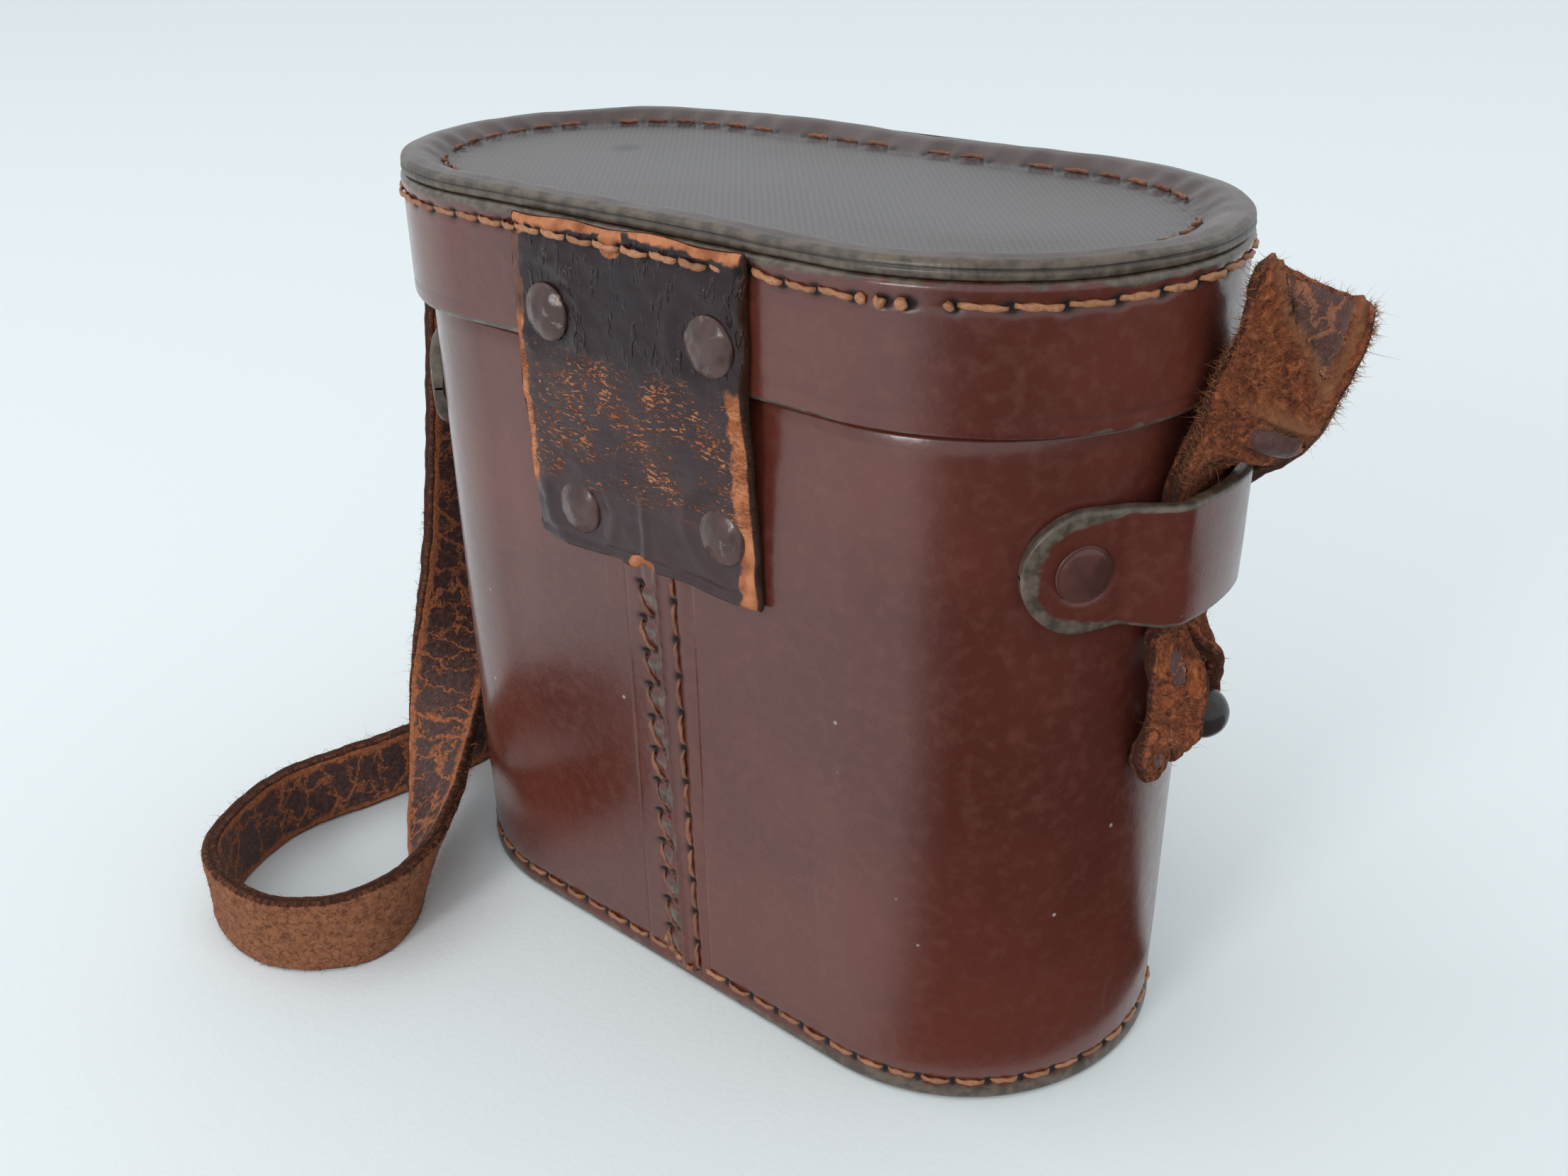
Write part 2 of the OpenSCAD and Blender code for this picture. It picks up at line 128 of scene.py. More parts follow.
class Shop:
    # Builds one material around a Principled shader.
    def __init__(self, name):
        self.material = bpy.data.materials.new(name)
        self.material.use_nodes = True
        self.tree = self.material.node_tree
        self.shader = self.tree.nodes["Principled BSDF"]

    def node(self, kind, settings=None, values=None, out=0):
        # Any node: its settings first, then the values or links of its inputs; gives back one output.
        made = self.tree.nodes.new(kind)
        for key, value in (settings or {}).items():
            setattr(made, key, value)
        for key, value in (values or {}).items():
            if isinstance(value, Wire):
                self.tree.links.new(value.out, made.inputs[key])
            else:
                made.inputs[key].default_value = value
        return Wire(self, made.outputs[out])

    def place(self, scale=(1, 1, 1), turn=(0, 0, 0)):
        # Object coordinates, turned and then stretched.
        where = self.node("ShaderNodeTexCoord", out="Object")
        return self.node("ShaderNodeMapping", None, {0: where, 2: turn, 3: scale})

    def noise(self, where, scale, detail=3.0, rough=0.55, bend=0.0):
        # Cloudy value near 0.5; scale is how many clouds fit in a metre.
        return self.node("ShaderNodeTexNoise", None,
                         {"Vector": where, "Scale": scale, "Detail": detail, "Roughness": rough,
                          "Distortion": bend})

    def cells(self, where, scale, feature="F1", out="Distance"):
        # Distance to the nearest of scattered points, or that point's own random colour.
        return self.node("ShaderNodeTexVoronoi", {"feature": feature}, {"Vector": where, "Scale": scale},
                         out)

    def step(self, value, low, high):
        # 0 at low and 1 at high with a smooth rise; low may be the larger one.
        if low <= high:
            return self.node("ShaderNodeMapRange", {"interpolation_type": "SMOOTHSTEP"},
                             {0: value, 1: low, 2: high})
        return 1 - self.step(value, high, low)

    def mix(self, amount, first, second):
        # Colour between first and second.
        values = {0: amount, 6: first, 7: second}
        for key in (6, 7):
            if not isinstance(values[key], Wire):
                values[key] = (*values[key], 1)
        return self.node("ShaderNodeMix", {"data_type": "RGBA"}, values, 2)

    def most(self, *values):
        # The largest of several values.
        first, *others = values
        for other in others:
            first = first.maths("MAXIMUM", first, other)
        return first

    def mark(self, name):
        # A value painted on the points of the mesh.
        return self.node("ShaderNodeAttribute", {"attribute_name": name}, out="Fac")

    def bump(self, height, strength, deep, under=None):
        # Normal tilted by the slope of height, deep metres at most, on top of the normal under it.
        values = {"Strength": strength, "Distance": deep, "Height": height}
        if under is not None:
            values["Normal"] = under
        return self.node("ShaderNodeBump", None, values)

    def finish(self, color, roughness, normal=None, **fixed):
        # Wires or plain values into the shader; gives back the finished material.
        for key, value in (("Base Color", color), ("Roughness", roughness), ("Normal", normal)):
            if isinstance(value, Wire):
                self.tree.links.new(value.out, self.shader.inputs[key])
            elif value is not None:
                self.shader.inputs[key].default_value = value if key != "Base Color" else (*value, 1)
        names = {"metallic": "Metallic", "coat": "Coat Weight", "coatRough": "Coat Roughness",
                 "alpha": "Alpha", "sheen": "Sheen Weight", "sheenRough": "Sheen Roughness",
                 "gloss": "Specular IOR Level"}
        for key, value in fixed.items():
            socket = self.shader.inputs[names[key]]
            if isinstance(value, Wire):
                self.tree.links.new(value.out, socket)
            else:
                socket.default_value = value
        return self.material


# Colours of the finishes, linear.
tones = {
    "red": (0.118, 0.027, 0.017), "redDeep": (0.080, 0.017, 0.011), "redLight": (0.150, 0.044, 0.030),
    # "hole": near-black painted shade for stitch holes, grooves and creases; threadWax also uses it for dirt
    # on the thread.
    "wornEdge": (0.118, 0.086, 0.060), "wornDark": (0.052, 0.036, 0.025), "hole": (0.008, 0.006, 0.005),
    "panel": (0.105, 0.086, 0.084), "panelDark": (0.062, 0.048, 0.047), "flap": (0.021, 0.010, 0.011),
    "flapLow": (0.048, 0.026, 0.027), "raw": (0.500, 0.190, 0.085), "rawDark": (0.270, 0.080, 0.030),
    "flesh": (0.330, 0.083, 0.026), "fleshDark": (0.095, 0.021, 0.008), "fleshPale": (0.620, 0.215, 0.085),
    "fleshFaded": (0.560, 0.235, 0.115),
    "strapRaw": (0.400, 0.140, 0.058), "grain": (0.050, 0.022, 0.019), "grainPale": (0.105, 0.052, 0.044),
    "thread": (0.430, 0.185, 0.080),
    "threadDark": (0.200, 0.070, 0.028), "suede": (0.130, 0.022, 0.020), "brass": (0.40, 0.27, 0.11),
    "rivet": (0.055, 0.028, 0.025), "rivetBare": (0.190, 0.140, 0.120), "stud": (0.026, 0.021, 0.020),
    "dust": (0.42, 0.40, 0.38), "weave": (0.19, 0.17, 0.17), "spot": (0.030, 0.026, 0.026),
    "band": (0.062, 0.034, 0.029), "bandPale": (0.098, 0.068, 0.060), "flapCold": (0.022, 0.014, 0.018),
    "flapCut": (0.040, 0.016, 0.010), "patch": (0.085, 0.042, 0.036), "patchCrack": (0.23, 0.11, 0.07),
    "lip": (0.26, 0.095, 0.038), "lipPale": (0.46, 0.20, 0.09), "cut": (0.060, 0.015, 0.007),
    # "gap": painted shade in the strap's slit, mouth and gaps.
    "cutPale": (0.270, 0.080, 0.030), "gap": (0.020, 0.010, 0.008), "tarnish": (0.12, 0.07, 0.03),
    "fibre": (0.50, 0.19, 0.065), "fibreDark": (0.13, 0.036, 0.012), "threadRed": (0.270, 0.098, 0.045),
    "threadRedDark": (0.090, 0.028, 0.017), "studBare": (0.11, 0.10, 0.095),
    "suedeDark": (0.06, 0.010, 0.010),
    "loopRivet": (0.058, 0.022, 0.018), "loopRivetBare": (0.15, 0.11, 0.10), "floor": (0.85, 0.885, 0.89),
    # "card": the dark fan seen only in reflections, a painted dark reflection.
    "card": (0.012, 0.009, 0.008), "sky": (0.90, 0.965, 1.0)}


# ---- leathers
def caseLeather(name, marks=True):
    # Polished red-brown leather: slow tone changes, fine pores, scuffs and dust specks. It is worn grey
    # where "wear" is marked, and black and dull where "hole" is: painted shade in stitch holes, grooves and
    # creases.
    shop = Shop(name)
    where = shop.place()
    slow = shop.noise(where, 22, 3)
    fine = shop.noise(where, 420, 3, 0.6)
    color = shop.mix(shop.step(slow, 0.35, 0.68), tones["redDeep"], tones["red"])
    color = shop.mix(shop.step(fine, 0.45, 0.75) * 0.35, color, tones["redLight"])
    scuffs = shop.noise(shop.place((260, 260, 34), (0.1, 0.2, 0.3)), 1.0, 2)
    scuffMask = shop.step(scuffs, 0.70, 0.80) * shop.step(shop.noise(where, 28, 2), 0.50, 0.66)
    color = shop.mix(scuffMask * 0.55, color, tones["wornEdge"])
    chosen = shop.step(shop.cells(where, 130.0, out="Color"), 0.55,
                       0.62)  # one cell in three holds a dust speck
    speck = shop.step(shop.cells(where, 130.0), 0.055, 0.03) * chosen
    color = shop.mix(speck * 0.7, color, tones["dust"])
    ragged = shop.noise(where, 360, 3, 0.6)
    rough = shop.step(fine, 0.3, 0.8) * 0.09 + 0.24 + scuffMask * 0.2
    shine = 0.35
    if marks:
        wear = shop.mark("wear") + (ragged - 0.5) * 0.7
        worn = shop.step(wear, 0.42, 0.62)
        edge = shop.mix(shop.step(shop.noise(where, 520, 3), 0.35, 0.65), tones["wornDark"],
                        tones["wornEdge"])
        color = shop.mix(worn, color, edge)
        rough = rough + worn * 0.2
        color = shop.mix(shop.mark("hole"), color, tones["hole"])
        rough = rough + shop.mark("hole") * 0.6
        shine = 0.35 - shop.mark("hole") * 0.35
    pores = shop.cells(where, 1500)
    pebbles = shop.noise(where, 230, 2, 0.5)
    normal = shop.bump(pores, 0.10, 0.00012)
    normal = shop.bump(pebbles, 0.20, 0.00035, normal)
    normal = shop.bump(scuffMask, 0.4, -0.0002, normal)
    return shop.finish(color, rough, normal, coat=shine, coatRough=0.16, gloss=0.5)


def lidTopLeather():
    # Dull grey-brown panel with a faint woven print; brown-grey polished border; grey-green outer edge.
    shop = Shop("lidTopLeather")
    where = shop.place()
    slow = shop.noise(where, 30, 4)
    lines = shop.node("ShaderNodeTexWave", {"bands_direction": "X"},
                      {"Vector": shop.place((1, 1, 1), (0, 0, math.radians(-42.0))), "Scale": 330.0,
                       "Distortion": 1.2, "Detail": 2.0, "Detail Scale": 2.0})
    color = shop.mix(shop.step(slow, 0.3, 0.7), tones["panelDark"], tones["panel"])
    color = shop.mix(lines * 0.22, color, tones["weave"])
    color = shop.mix(shop.mark("spot"), color, tones["spot"])
    band = shop.mark("band")
    bandColor = shop.mix(shop.step(shop.noise(where, 90, 3), 0.35, 0.65), tones["band"], tones["bandPale"])
    color = shop.mix(band, color, bandColor)
    wear = shop.step(shop.mark("wear") + (shop.noise(where, 300, 3) - 0.5) * 0.6, 0.4, 0.65)
    edge = shop.mix(shop.step(shop.noise(where, 420, 4), 0.35, 0.65), tones["wornDark"], tones["wornEdge"])
    color = shop.mix(wear, color, edge)
    # Painted shade: black where "hole" is marked, in the stitch holes and the grooves between the edge's
    # layers.
    color = shop.mix(shop.mark("hole"), color, tones["hole"])
    rough = shop.step(slow, 0.3, 0.7) * 0.08 + 0.40 - band * 0.06
    normal = shop.bump(lines, 0.12, 0.00015)
    normal = shop.bump(shop.noise(where, 700, 3), 0.22, 0.00025, normal)
    return shop.finish(color, rough, normal, coat=0.12, coatRough=0.3, gloss=0.5)


def flapLeather():
    # Near-black polished leather, raw orange where the grain has worn off. The marks fromLeft, fromRight,
    # fromTop and fromLow are distances from the edges in millimetres; wear is a step of such a distance
    # made ragged by noise.
    shop = Shop("flapLeather")
    where = shop.place()
    fromLeft, fromTop = shop.mark("fromLeft"), shop.mark("fromTop")
    fromRight, fromLow = shop.mark("fromRight"), shop.mark("fromLow")
    ragged = (shop.noise(where, 330, 4, 0.6) - 0.5) * 2.4
    soft = (shop.noise(where, 90, 2) - 0.5) * 3.0
    bending = shop.step(fromTop, 17.5, 21.0) * shop.step(fromTop, 42.5, 38.0)
    leftWear = (shop.step(fromLeft + ragged * 1.3 - soft * 0.4, 2.1, 1.4)
                * (0.25 + shop.step(fromTop, 13.5, 16.5) * 0.75))
    leftWear = leftWear * shop.step(fromTop, 44.5, 41.5)
    rightWear = (shop.step(fromRight + ragged * 1.7 + soft * 1.0, 3.3, 2.6)
                 * shop.step(fromTop + ragged * 1.5, 17.5, 19.5))
    topWear = shop.step(fromTop + ragged * 1.1 + soft * 1.3, 1.1, 0.6)
    lowWear = shop.step(fromLow + ragged * 0.3, 0.9, 0.3) * shop.step(soft, -0.1, 0.8)
    streaks = shop.noise(shop.place((80, 80, 560), (0, math.radians(-13.0), 0)), 1.0, 3, 0.6, 0.5)
    specks = shop.noise(where, 900, 3, 0.7)
    flecks = shop.noise(shop.place((760, 760, 2000), (0, math.radians(-13.0), 0)), 1.0, 3, 0.65, 0.3)
    patchy = shop.noise(where, 150, 2)
    upper = shop.step(fromTop, 28.5, 21.5)
    line = shop.most(streaks - 0.5, 0.5 - streaks)
    longCracks = shop.step(line + (specks - 0.5) * 0.024, 0.013, 0.004) * shop.step(patchy, 0.40, 0.50)
    cracked = shop.step(flecks + patchy * 0.40 + upper * 0.050, 0.805, 0.850)
    cracked = shop.most(cracked, longCracks) * bending
    patchWear = shop.step(shop.mark("rubbed") + ragged * 0.2, 0.4, 0.6)
    bare = shop.most(leftWear, rightWear, topWear, lowWear, patchWear, cracked * 0.85)
    dark = shop.mix(shop.step(fromTop, 17.0, 24.0), tones["flap"], tones["flapLow"])
    dark = shop.mix(shop.step(shop.noise(where, 60, 3), 0.4, 0.65) * 0.5, dark, tones["flapCold"])
    raw = shop.mix(shop.step(shop.noise(where, 260, 4), 0.35, 0.65), tones["rawDark"], tones["raw"])
    color = shop.mix(bare, dark, raw)
    color = shop.mix(shop.mark("cutEdge") * shop.step(ragged, 1.2, 0.2), color, tones["flapCut"])
    # Painted shade: black in the stitch holes, where "hole" is marked.
    color = shop.mix(shop.mark("hole"), color, tones["hole"])
    creases = shop.noise(shop.place((760, 760, 260), (0, math.radians(12.0), 0)), 1.0, 2, 0.5)
    creases = shop.step(creases, 0.56, 0.70)
    upperOnly = shop.step(fromTop, 21.0, 16.0)
    rough = 0.22 + bare * 0.5 + bending * 0.18
    normal = shop.bump(creases * upperOnly, 0.9, 0.00030)
    normal = shop.bump((cracked + streaks * 0.6) * bending, 0.9, -0.0005, normal)
    normal = shop.bump(specks, 0.35, 0.0003, normal)
    return shop.finish(color, rough + shop.mark("hole") * 0.5, normal, gloss=0.26)


def strapLeather():
    # One side fuzzy flesh, the other dark grain split by raw cracks; "side" is 1 on the flesh and 0 on the
    # grain. Patterns lie on a grid of the marks "along" and "across", in millimetres of strap.
    shop = Shop("strapLeather")
    along, across = shop.mark("along"), shop.mark("across")
    grid = shop.node("ShaderNodeCombineXYZ", None, {0: along, 1: across, 2: shop.mark("side") * 9.0})
    tufts = shop.noise(grid, 1.15, 4, 0.68, 0.8)
    clumps = shop.noise(grid, 0.34, 3)
    flesh = shop.mix(shop.step(tufts, 0.34, 0.56), tones["fleshDark"], tones["flesh"])
    flesh = shop.mix(shop.step(tufts, 0.52, 0.68) * 0.75, flesh, tones["fleshPale"])
    flesh = shop.mix(shop.step(clumps, 0.56, 0.36) * 0.35, flesh, tones["fleshDark"])
    faded = shop.step(along, 300.0, 500.0) * (0.25 + shop.step(tufts, 0.35, 0.60) * 0.45)
    flesh = shop.mix(faded, flesh, tones["fleshFaded"])
    bent = shop.noise(grid, 0.5, 3, 0.6)
    stretch = shop.node("ShaderNodeCombineXYZ", None,
                        {0: along * 0.21 + bent * 1.3, 1: across * 0.10 + bent * 0.9,
                         2: shop.mark("side") * 3.0})
    cracks = shop.step(shop.cells(stretch, 1.0, "DISTANCE_TO_EDGE"), 0.07, 0.02)
    fineStretch = shop.node("ShaderNodeCombineXYZ", None,
                            {0: along * 0.9 + bent * 1.5, 1: across * 0.35, 2: 0.0})
    fineCracks = shop.step(shop.noise(fineStretch, 1.3, 4, 0.7), 0.585, 0.64)
    mottled = shop.noise(grid, 0.9, 4, 0.65)
    grain = shop.mix(shop.step(mottled, 0.35, 0.7), tones["grain"], tones["grainPale"])
    edge = shop.step(shop.mark("fromEdge") + (shop.noise(grid, 0.45, 4, 0.6) - 0.5) * 4.4, 2.3, 1.3)
    raw = shop.mix(shop.step(shop.noise(grid, 1.3, 3), 0.35, 0.65), tones["rawDark"], tones["strapRaw"])
    split = shop.most(cracks, fineCracks * 0.75, edge)
    grain = shop.mix(split, grain, raw)
    side = shop.step(shop.mark("side") + (tufts - 0.5) * 0.25, 0.42, 0.58)
    patch = shop.mark("patch")
    fleshy = side * (1 - shop.step(patch + (tufts - 0.5) * 1.1, 0.35, 0.6))
    grain = shop.mix(patch * side * 0.65, grain,
                     shop.mix(cracks * 0.6, tones["patch"], tones["patchCrack"]))
    color = shop.mix(fleshy, grain, flesh)
    color = shop.mix(shop.mark("lip") * 0.85, color, shop.mix(tufts, tones["lip"], tones["lipPale"]))
    cutSide = shop.step(shop.mark("fromEdge") + (tufts - 0.5) * 0.5, 0.62, 0.30)
    color = shop.mix(cutSide, color, shop.mix(shop.step(tufts, 0.42, 0.66), tones["cut"], tones["cutPale"]))
    # Painted shade: near-black in the slit, the mouth and the gaps by the tongue, where the "shade" mark is.
    color = shop.mix(shop.mark("shade"), color, tones["gap"])
    rough = 0.42 + fleshy * 0.5 + split * (1 - fleshy) * 0.3
    fleshBump = tufts + shop.noise(grid, 4.2, 3, 0.7) * 0.6
    normal = shop.bump(fleshBump * shop.most(fleshy, cutSide), 1.0, 0.0013)
    normal = shop.bump((mottled - split * 0.8) * (1 - fleshy), 0.6, 0.0006, normal)
    return shop.finish(color, rough, normal, sheen=0.03, sheenRough=0.6, gloss=0.2)


def threadWax(name, light, dark):
    # Waxed two-ply thread: lengthwise fibres, each stitch a little lighter or darker by its painted shade.
    shop = Shop(name)
    where = shop.place()
    strands = shop.noise(where, 2600, 2)
    dirt = shop.noise(where, 300, 3)
    color = shop.mix(shop.mark("shade"), light, dark)
    color = shop.mix(shop.step(strands, 0.55, 0.4) * 0.45, color, dark)
    color = shop.mix(shop.step(dirt, 0.58, 0.72) * 0.5, color, tones["hole"])
    normal = shop.bump(strands, 0.5, 0.00015)
    return shop.finish(color, 0.55, normal, coat=0.1, coatRough=0.4)


def paintedMetal(name, paint, bare, scratched):
    # Dark lacquer over metal, rubbed through in spots.
    shop = Shop(name)
    where = shop.place()
    patches = shop.noise(where, 420, 5, 0.65)
    rubbed = shop.step(patches, scratched, scratched + 0.07)
    color = shop.mix(rubbed, shop.mix(shop.step(shop.noise(where, 160, 2), 0.4, 0.6), paint,
                                      tuple(1.5 * c for c in paint)), bare)
    rough = 0.20 + rubbed * 0.2 + shop.noise(where, 900, 2) * 0.08
    normal = shop.bump(shop.noise(where, 500, 4), 0.3, 0.0003)
    return shop.finish(color, rough, normal, metallic=rubbed * 0.6, gloss=0.42)


def plainNap(name, color, deep):
    # Short nap: fine noise in tone and height.
    shop = Shop(name)
    where = shop.place()
    nap = shop.noise(where, 900, 4, 0.7)
    tone = shop.mix(shop.step(shop.noise(where, 60, 3) + (nap - 0.5) * 0.5, 0.35, 0.65), deep, color)
    return shop.finish(tone, 0.9, shop.bump(nap, 0.6, 0.0005), sheen=0.3, sheenRough=0.5, gloss=0.2)


def dullBrass():
    # Bare brass, brown and duller where the noise marks tarnish.
    shop = Shop("washerBrass")
    tarnish = shop.step(shop.noise(shop.place(), 500, 4), 0.4, 0.65)
    color = shop.mix(tarnish, tones["brass"], tones["tarnish"])
    return shop.finish(color, 0.35 + tarnish * 0.25, None, metallic=1.0)


bodySkin = caseLeather("bodyLeather")
plainSkin = caseLeather("plainLeather", marks=False)
topSkin = lidTopLeather()
flapSkin = flapLeather()
strapSkin = strapLeather()
fibreSkin = threadWax("strapFibre", tones["fibre"], tones["fibreDark"])
threadTan = threadWax("threadTan", tones["thread"], tones["threadDark"])
threadRed = threadWax("threadRed", tones["threadRed"], tones["threadRedDark"])
rivetMetal = paintedMetal("rivetMetal", tones["rivet"], tones["rivetBare"], 0.60)
studMetal = paintedMetal("studMetal", tones["stud"], tones["studBare"], 0.66)
suede = plainNap("suedeLining", tones["suede"], tones["suedeDark"])
brass = dullBrass()
print("materials mixed")


# ---- shapes
def unit(v):
    # Each vector divided by its own length.
    return v / np.linalg.norm(v, axis=-1, keepdims=True)


def rise(x, low, high):
    # 0 below low, 1 above high, a smooth cubic between.
    t = np.clip((np.asarray(x, float) - low) / (high - low), 0, 1)
    return t * t * (3 - 2 * t)


def bell(*parts, sharp=1):
    # exp(-(a*a + b*b)^sharp) of its one or two parts: 1 where they are 0, fading to both sides.
    return np.exp(-sum(part ** 2 for part in parts) ** sharp)


def waves(points, size, seed, count=12):
    # Sum of sines in random directions with wavelengths near size, about -1 to 1.
    dice = np.random.default_rng(seed)
    ways = unit(dice.normal(size=(count, 3))) * (2 * np.pi / size) * dice.uniform(0.6, 1.5, (count, 1))
    return np.sin(points @ ways.T + dice.uniform(0, 6.28, count)).sum(-1) / math.sqrt(count) * 0.8


def planAt(s, off):
    # Oval outline at arc length s from the middle of the hinge side, pushed outward by off: x, y and
    # normal.
    s = np.mod(s, perimeter)
    turn = (np.clip(s - halfFlat, 0, endArc) + np.clip(s - 3 * halfFlat - endArc, 0, endArc)) / endRadius
    middle = (np.minimum(s, halfFlat) - np.clip(s - halfFlat - endArc, 0, 2 * halfFlat)
              + np.clip(s - 3 * halfFlat - 2 * endArc, 0, halfFlat))
    normal = np.stack([np.sin(turn), -np.cos(turn)], -1)
    place = np.stack([middle, 0 * middle], -1) + normal * (endRadius + np.asarray(off))[..., None]
    return place, normal


def onWall(s, z, off):
    # Points on the wall of the case at arc length s, height z and outward distance off.
    s, z, off = np.broadcast_arrays(s, z, off)
    place, _ = planAt(s, off)
    return np.concatenate([place, z[..., None]], -1)


def fromHinge(s):
    # Arc length from the middle of the hinge side, negative toward the left.
    return np.mod(s + perimeter / 2, perimeter) - perimeter / 2


def carriedRound(profile, columns):
    # A section of the wall carried round the outline: arc lengths, outward distances, heights and points.
    s = np.arange(columns) / columns * perimeter
    off = np.broadcast_to(profile[:, None, 0], (len(profile), columns))
    z = np.broadcast_to(profile[:, None, 1], off.shape)
    return s, off, z, onWall(s[None, :], z, off)


def skin(name, points, material, body=None, wrap=True, ring=False, marks=None):
    # A quad between every four neighbouring grid points. points is (rows, columns, 3), or several such
    # grids; wrap joins the last column to the first, ring the last row to the first. Faces are turned
    # outward.
    points = np.asarray(points, float)
    points = points[None] if points.ndim == 3 else points
    parts, rows, cols = points.shape[:3]
    first = np.arange(parts)[:, None, None] * rows * cols
    i = np.arange(rows if ring else rows - 1)[None, :, None]
    j = np.arange(cols if wrap else cols - 1)[None, None, :]
    i2, j2 = (i + 1) % rows, (j + 1) % cols
    quads = np.stack([first + i * cols + j, first + i * cols + j2, first + i2 * cols + j2,
                      first + i2 * cols + j], -1)
    quads = quads.reshape(-1, 4)
    flat = points.reshape(-1, 3)
    a, b, c, d = (flat[quads[:, k]] for k in range(4))
    if (np.cross(a, b) * c).sum() + (np.cross(a, c) * d).sum() < 0:
        quads = quads[:, ::-1]
    mesh = bpy.data.meshes.new(name)
    mesh.vertices.add(len(flat))
    mesh.vertices.foreach_set("co", flat.astype(np.float32).ravel())
    mesh.loops.add(quads.size)
    mesh.loops.foreach_set("vertex_index", quads.astype(np.int32).ravel())
    mesh.polygons.add(len(quads))
    mesh.polygons.foreach_set("loop_start", np.arange(0, quads.size, 4, dtype=np.int32))
    mesh.update(calc_edges=True)
    for key, value in (marks or {}).items():
        layer = mesh.attributes.new(key, "FLOAT", "POINT")
        layer.data.foreach_set("value",
                               np.broadcast_to(value, points.shape[:-1]).astype(np.float32).ravel())
    work = bmesh.new()
    work.from_mesh(mesh)
    bmesh.ops.remove_doubles(work, verts=work.verts, dist=2e-6)
    work.to_mesh(mesh)
    work.free()
    mesh.polygons.foreach_set("use_smooth", np.full(len(mesh.polygons), True))
    mesh.materials.append(material)
    piece = bpy.data.objects.new(name, mesh)
    bpy.context.scene.collection.objects.link(piece)
    if body:
        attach(piece, body)
    return piece


def slabProfile(width, thick, radius, front, back, turns=4):
    # Closed rounded rectangle as shares of width and thickness: front face points, then the back's.
    x, y = width / 2 - radius, thick / 2 - radius
    quarter = np.linspace(0, np.pi / 2, turns + 1)
    corners = [np.stack([cx + radius * np.cos(quarter + k * np.pi / 2),
                         cy + radius * np.sin(quarter + k * np.pi / 2)], -1)
               for k, (cx, cy) in enumerate([(x, y), (-x, y), (-x, -y), (x, -y)])]
    faceFront = np.stack([np.linspace(x, -x, front + 2)[1:-1], np.full(front, y + radius)], -1)
    faceBack = np.stack([np.linspace(-x, x, back + 2)[1:-1], np.full(back, -y - radius)], -1)
    loop = np.concatenate([corners[0], faceFront, corners[1], corners[2], faceBack, corners[3]])
    return loop / (width, thick)


def sweep(centre, wide, face, width, thick, profile):
    # The profile carried along a path: centre plus its first number times the width, and its second the
    # thickness.
    a = profile[None, :, 0] * np.broadcast_to(width, len(centre))[:, None]
    b = profile[None, :, 1] * np.broadcast_to(thick, len(centre))[:, None]
    return centre[:, None] + wide[:, None] * a[..., None] + face[:, None] * b[..., None]


def endTaper(distance, radius):
    # Height of a quarter round at a distance from the end: 0 at the end, 1 past the radius.
    return np.sqrt(np.clip(1 - (1 - np.clip(distance / radius, 0, 1)) ** 2, 0, 1))


def splineThrough(values, steps):
    # Smooth line through the values (Catmull-Rom), with steps points between neighbours.
    values = np.asarray(values, float)
    t = np.arange((len(values) - 1) * steps + 1) / steps
    i = np.minimum(t.astype(int), len(values) - 1)
    f = (t - i)[:, None]
    a, b, c, d = (values[np.clip(i + k, 0, len(values) - 1)] for k in (-1, 0, 1, 2))
    return (0.5 * (2 * b + (c - a) * f + (2 * a - 5 * b + 4 * c - d) * f ** 2 + (3 * b - 3 * c + d - a) * f
                   ** 3))


def evenly(line, gap, *others):
    # The line's points again at equal distances, with the other rows of values carried along.
    length = np.concatenate([[0], np.cumsum(np.linalg.norm(np.diff(line, axis=0), axis=1))])
    wanted = np.linspace(0, length[-1], int(length[-1] / gap) + 1)
    return wanted, [np.stack([np.interp(wanted, length, row[:, k]) for k in range(row.shape[1])], -1)
                    for row in (line, *others)]


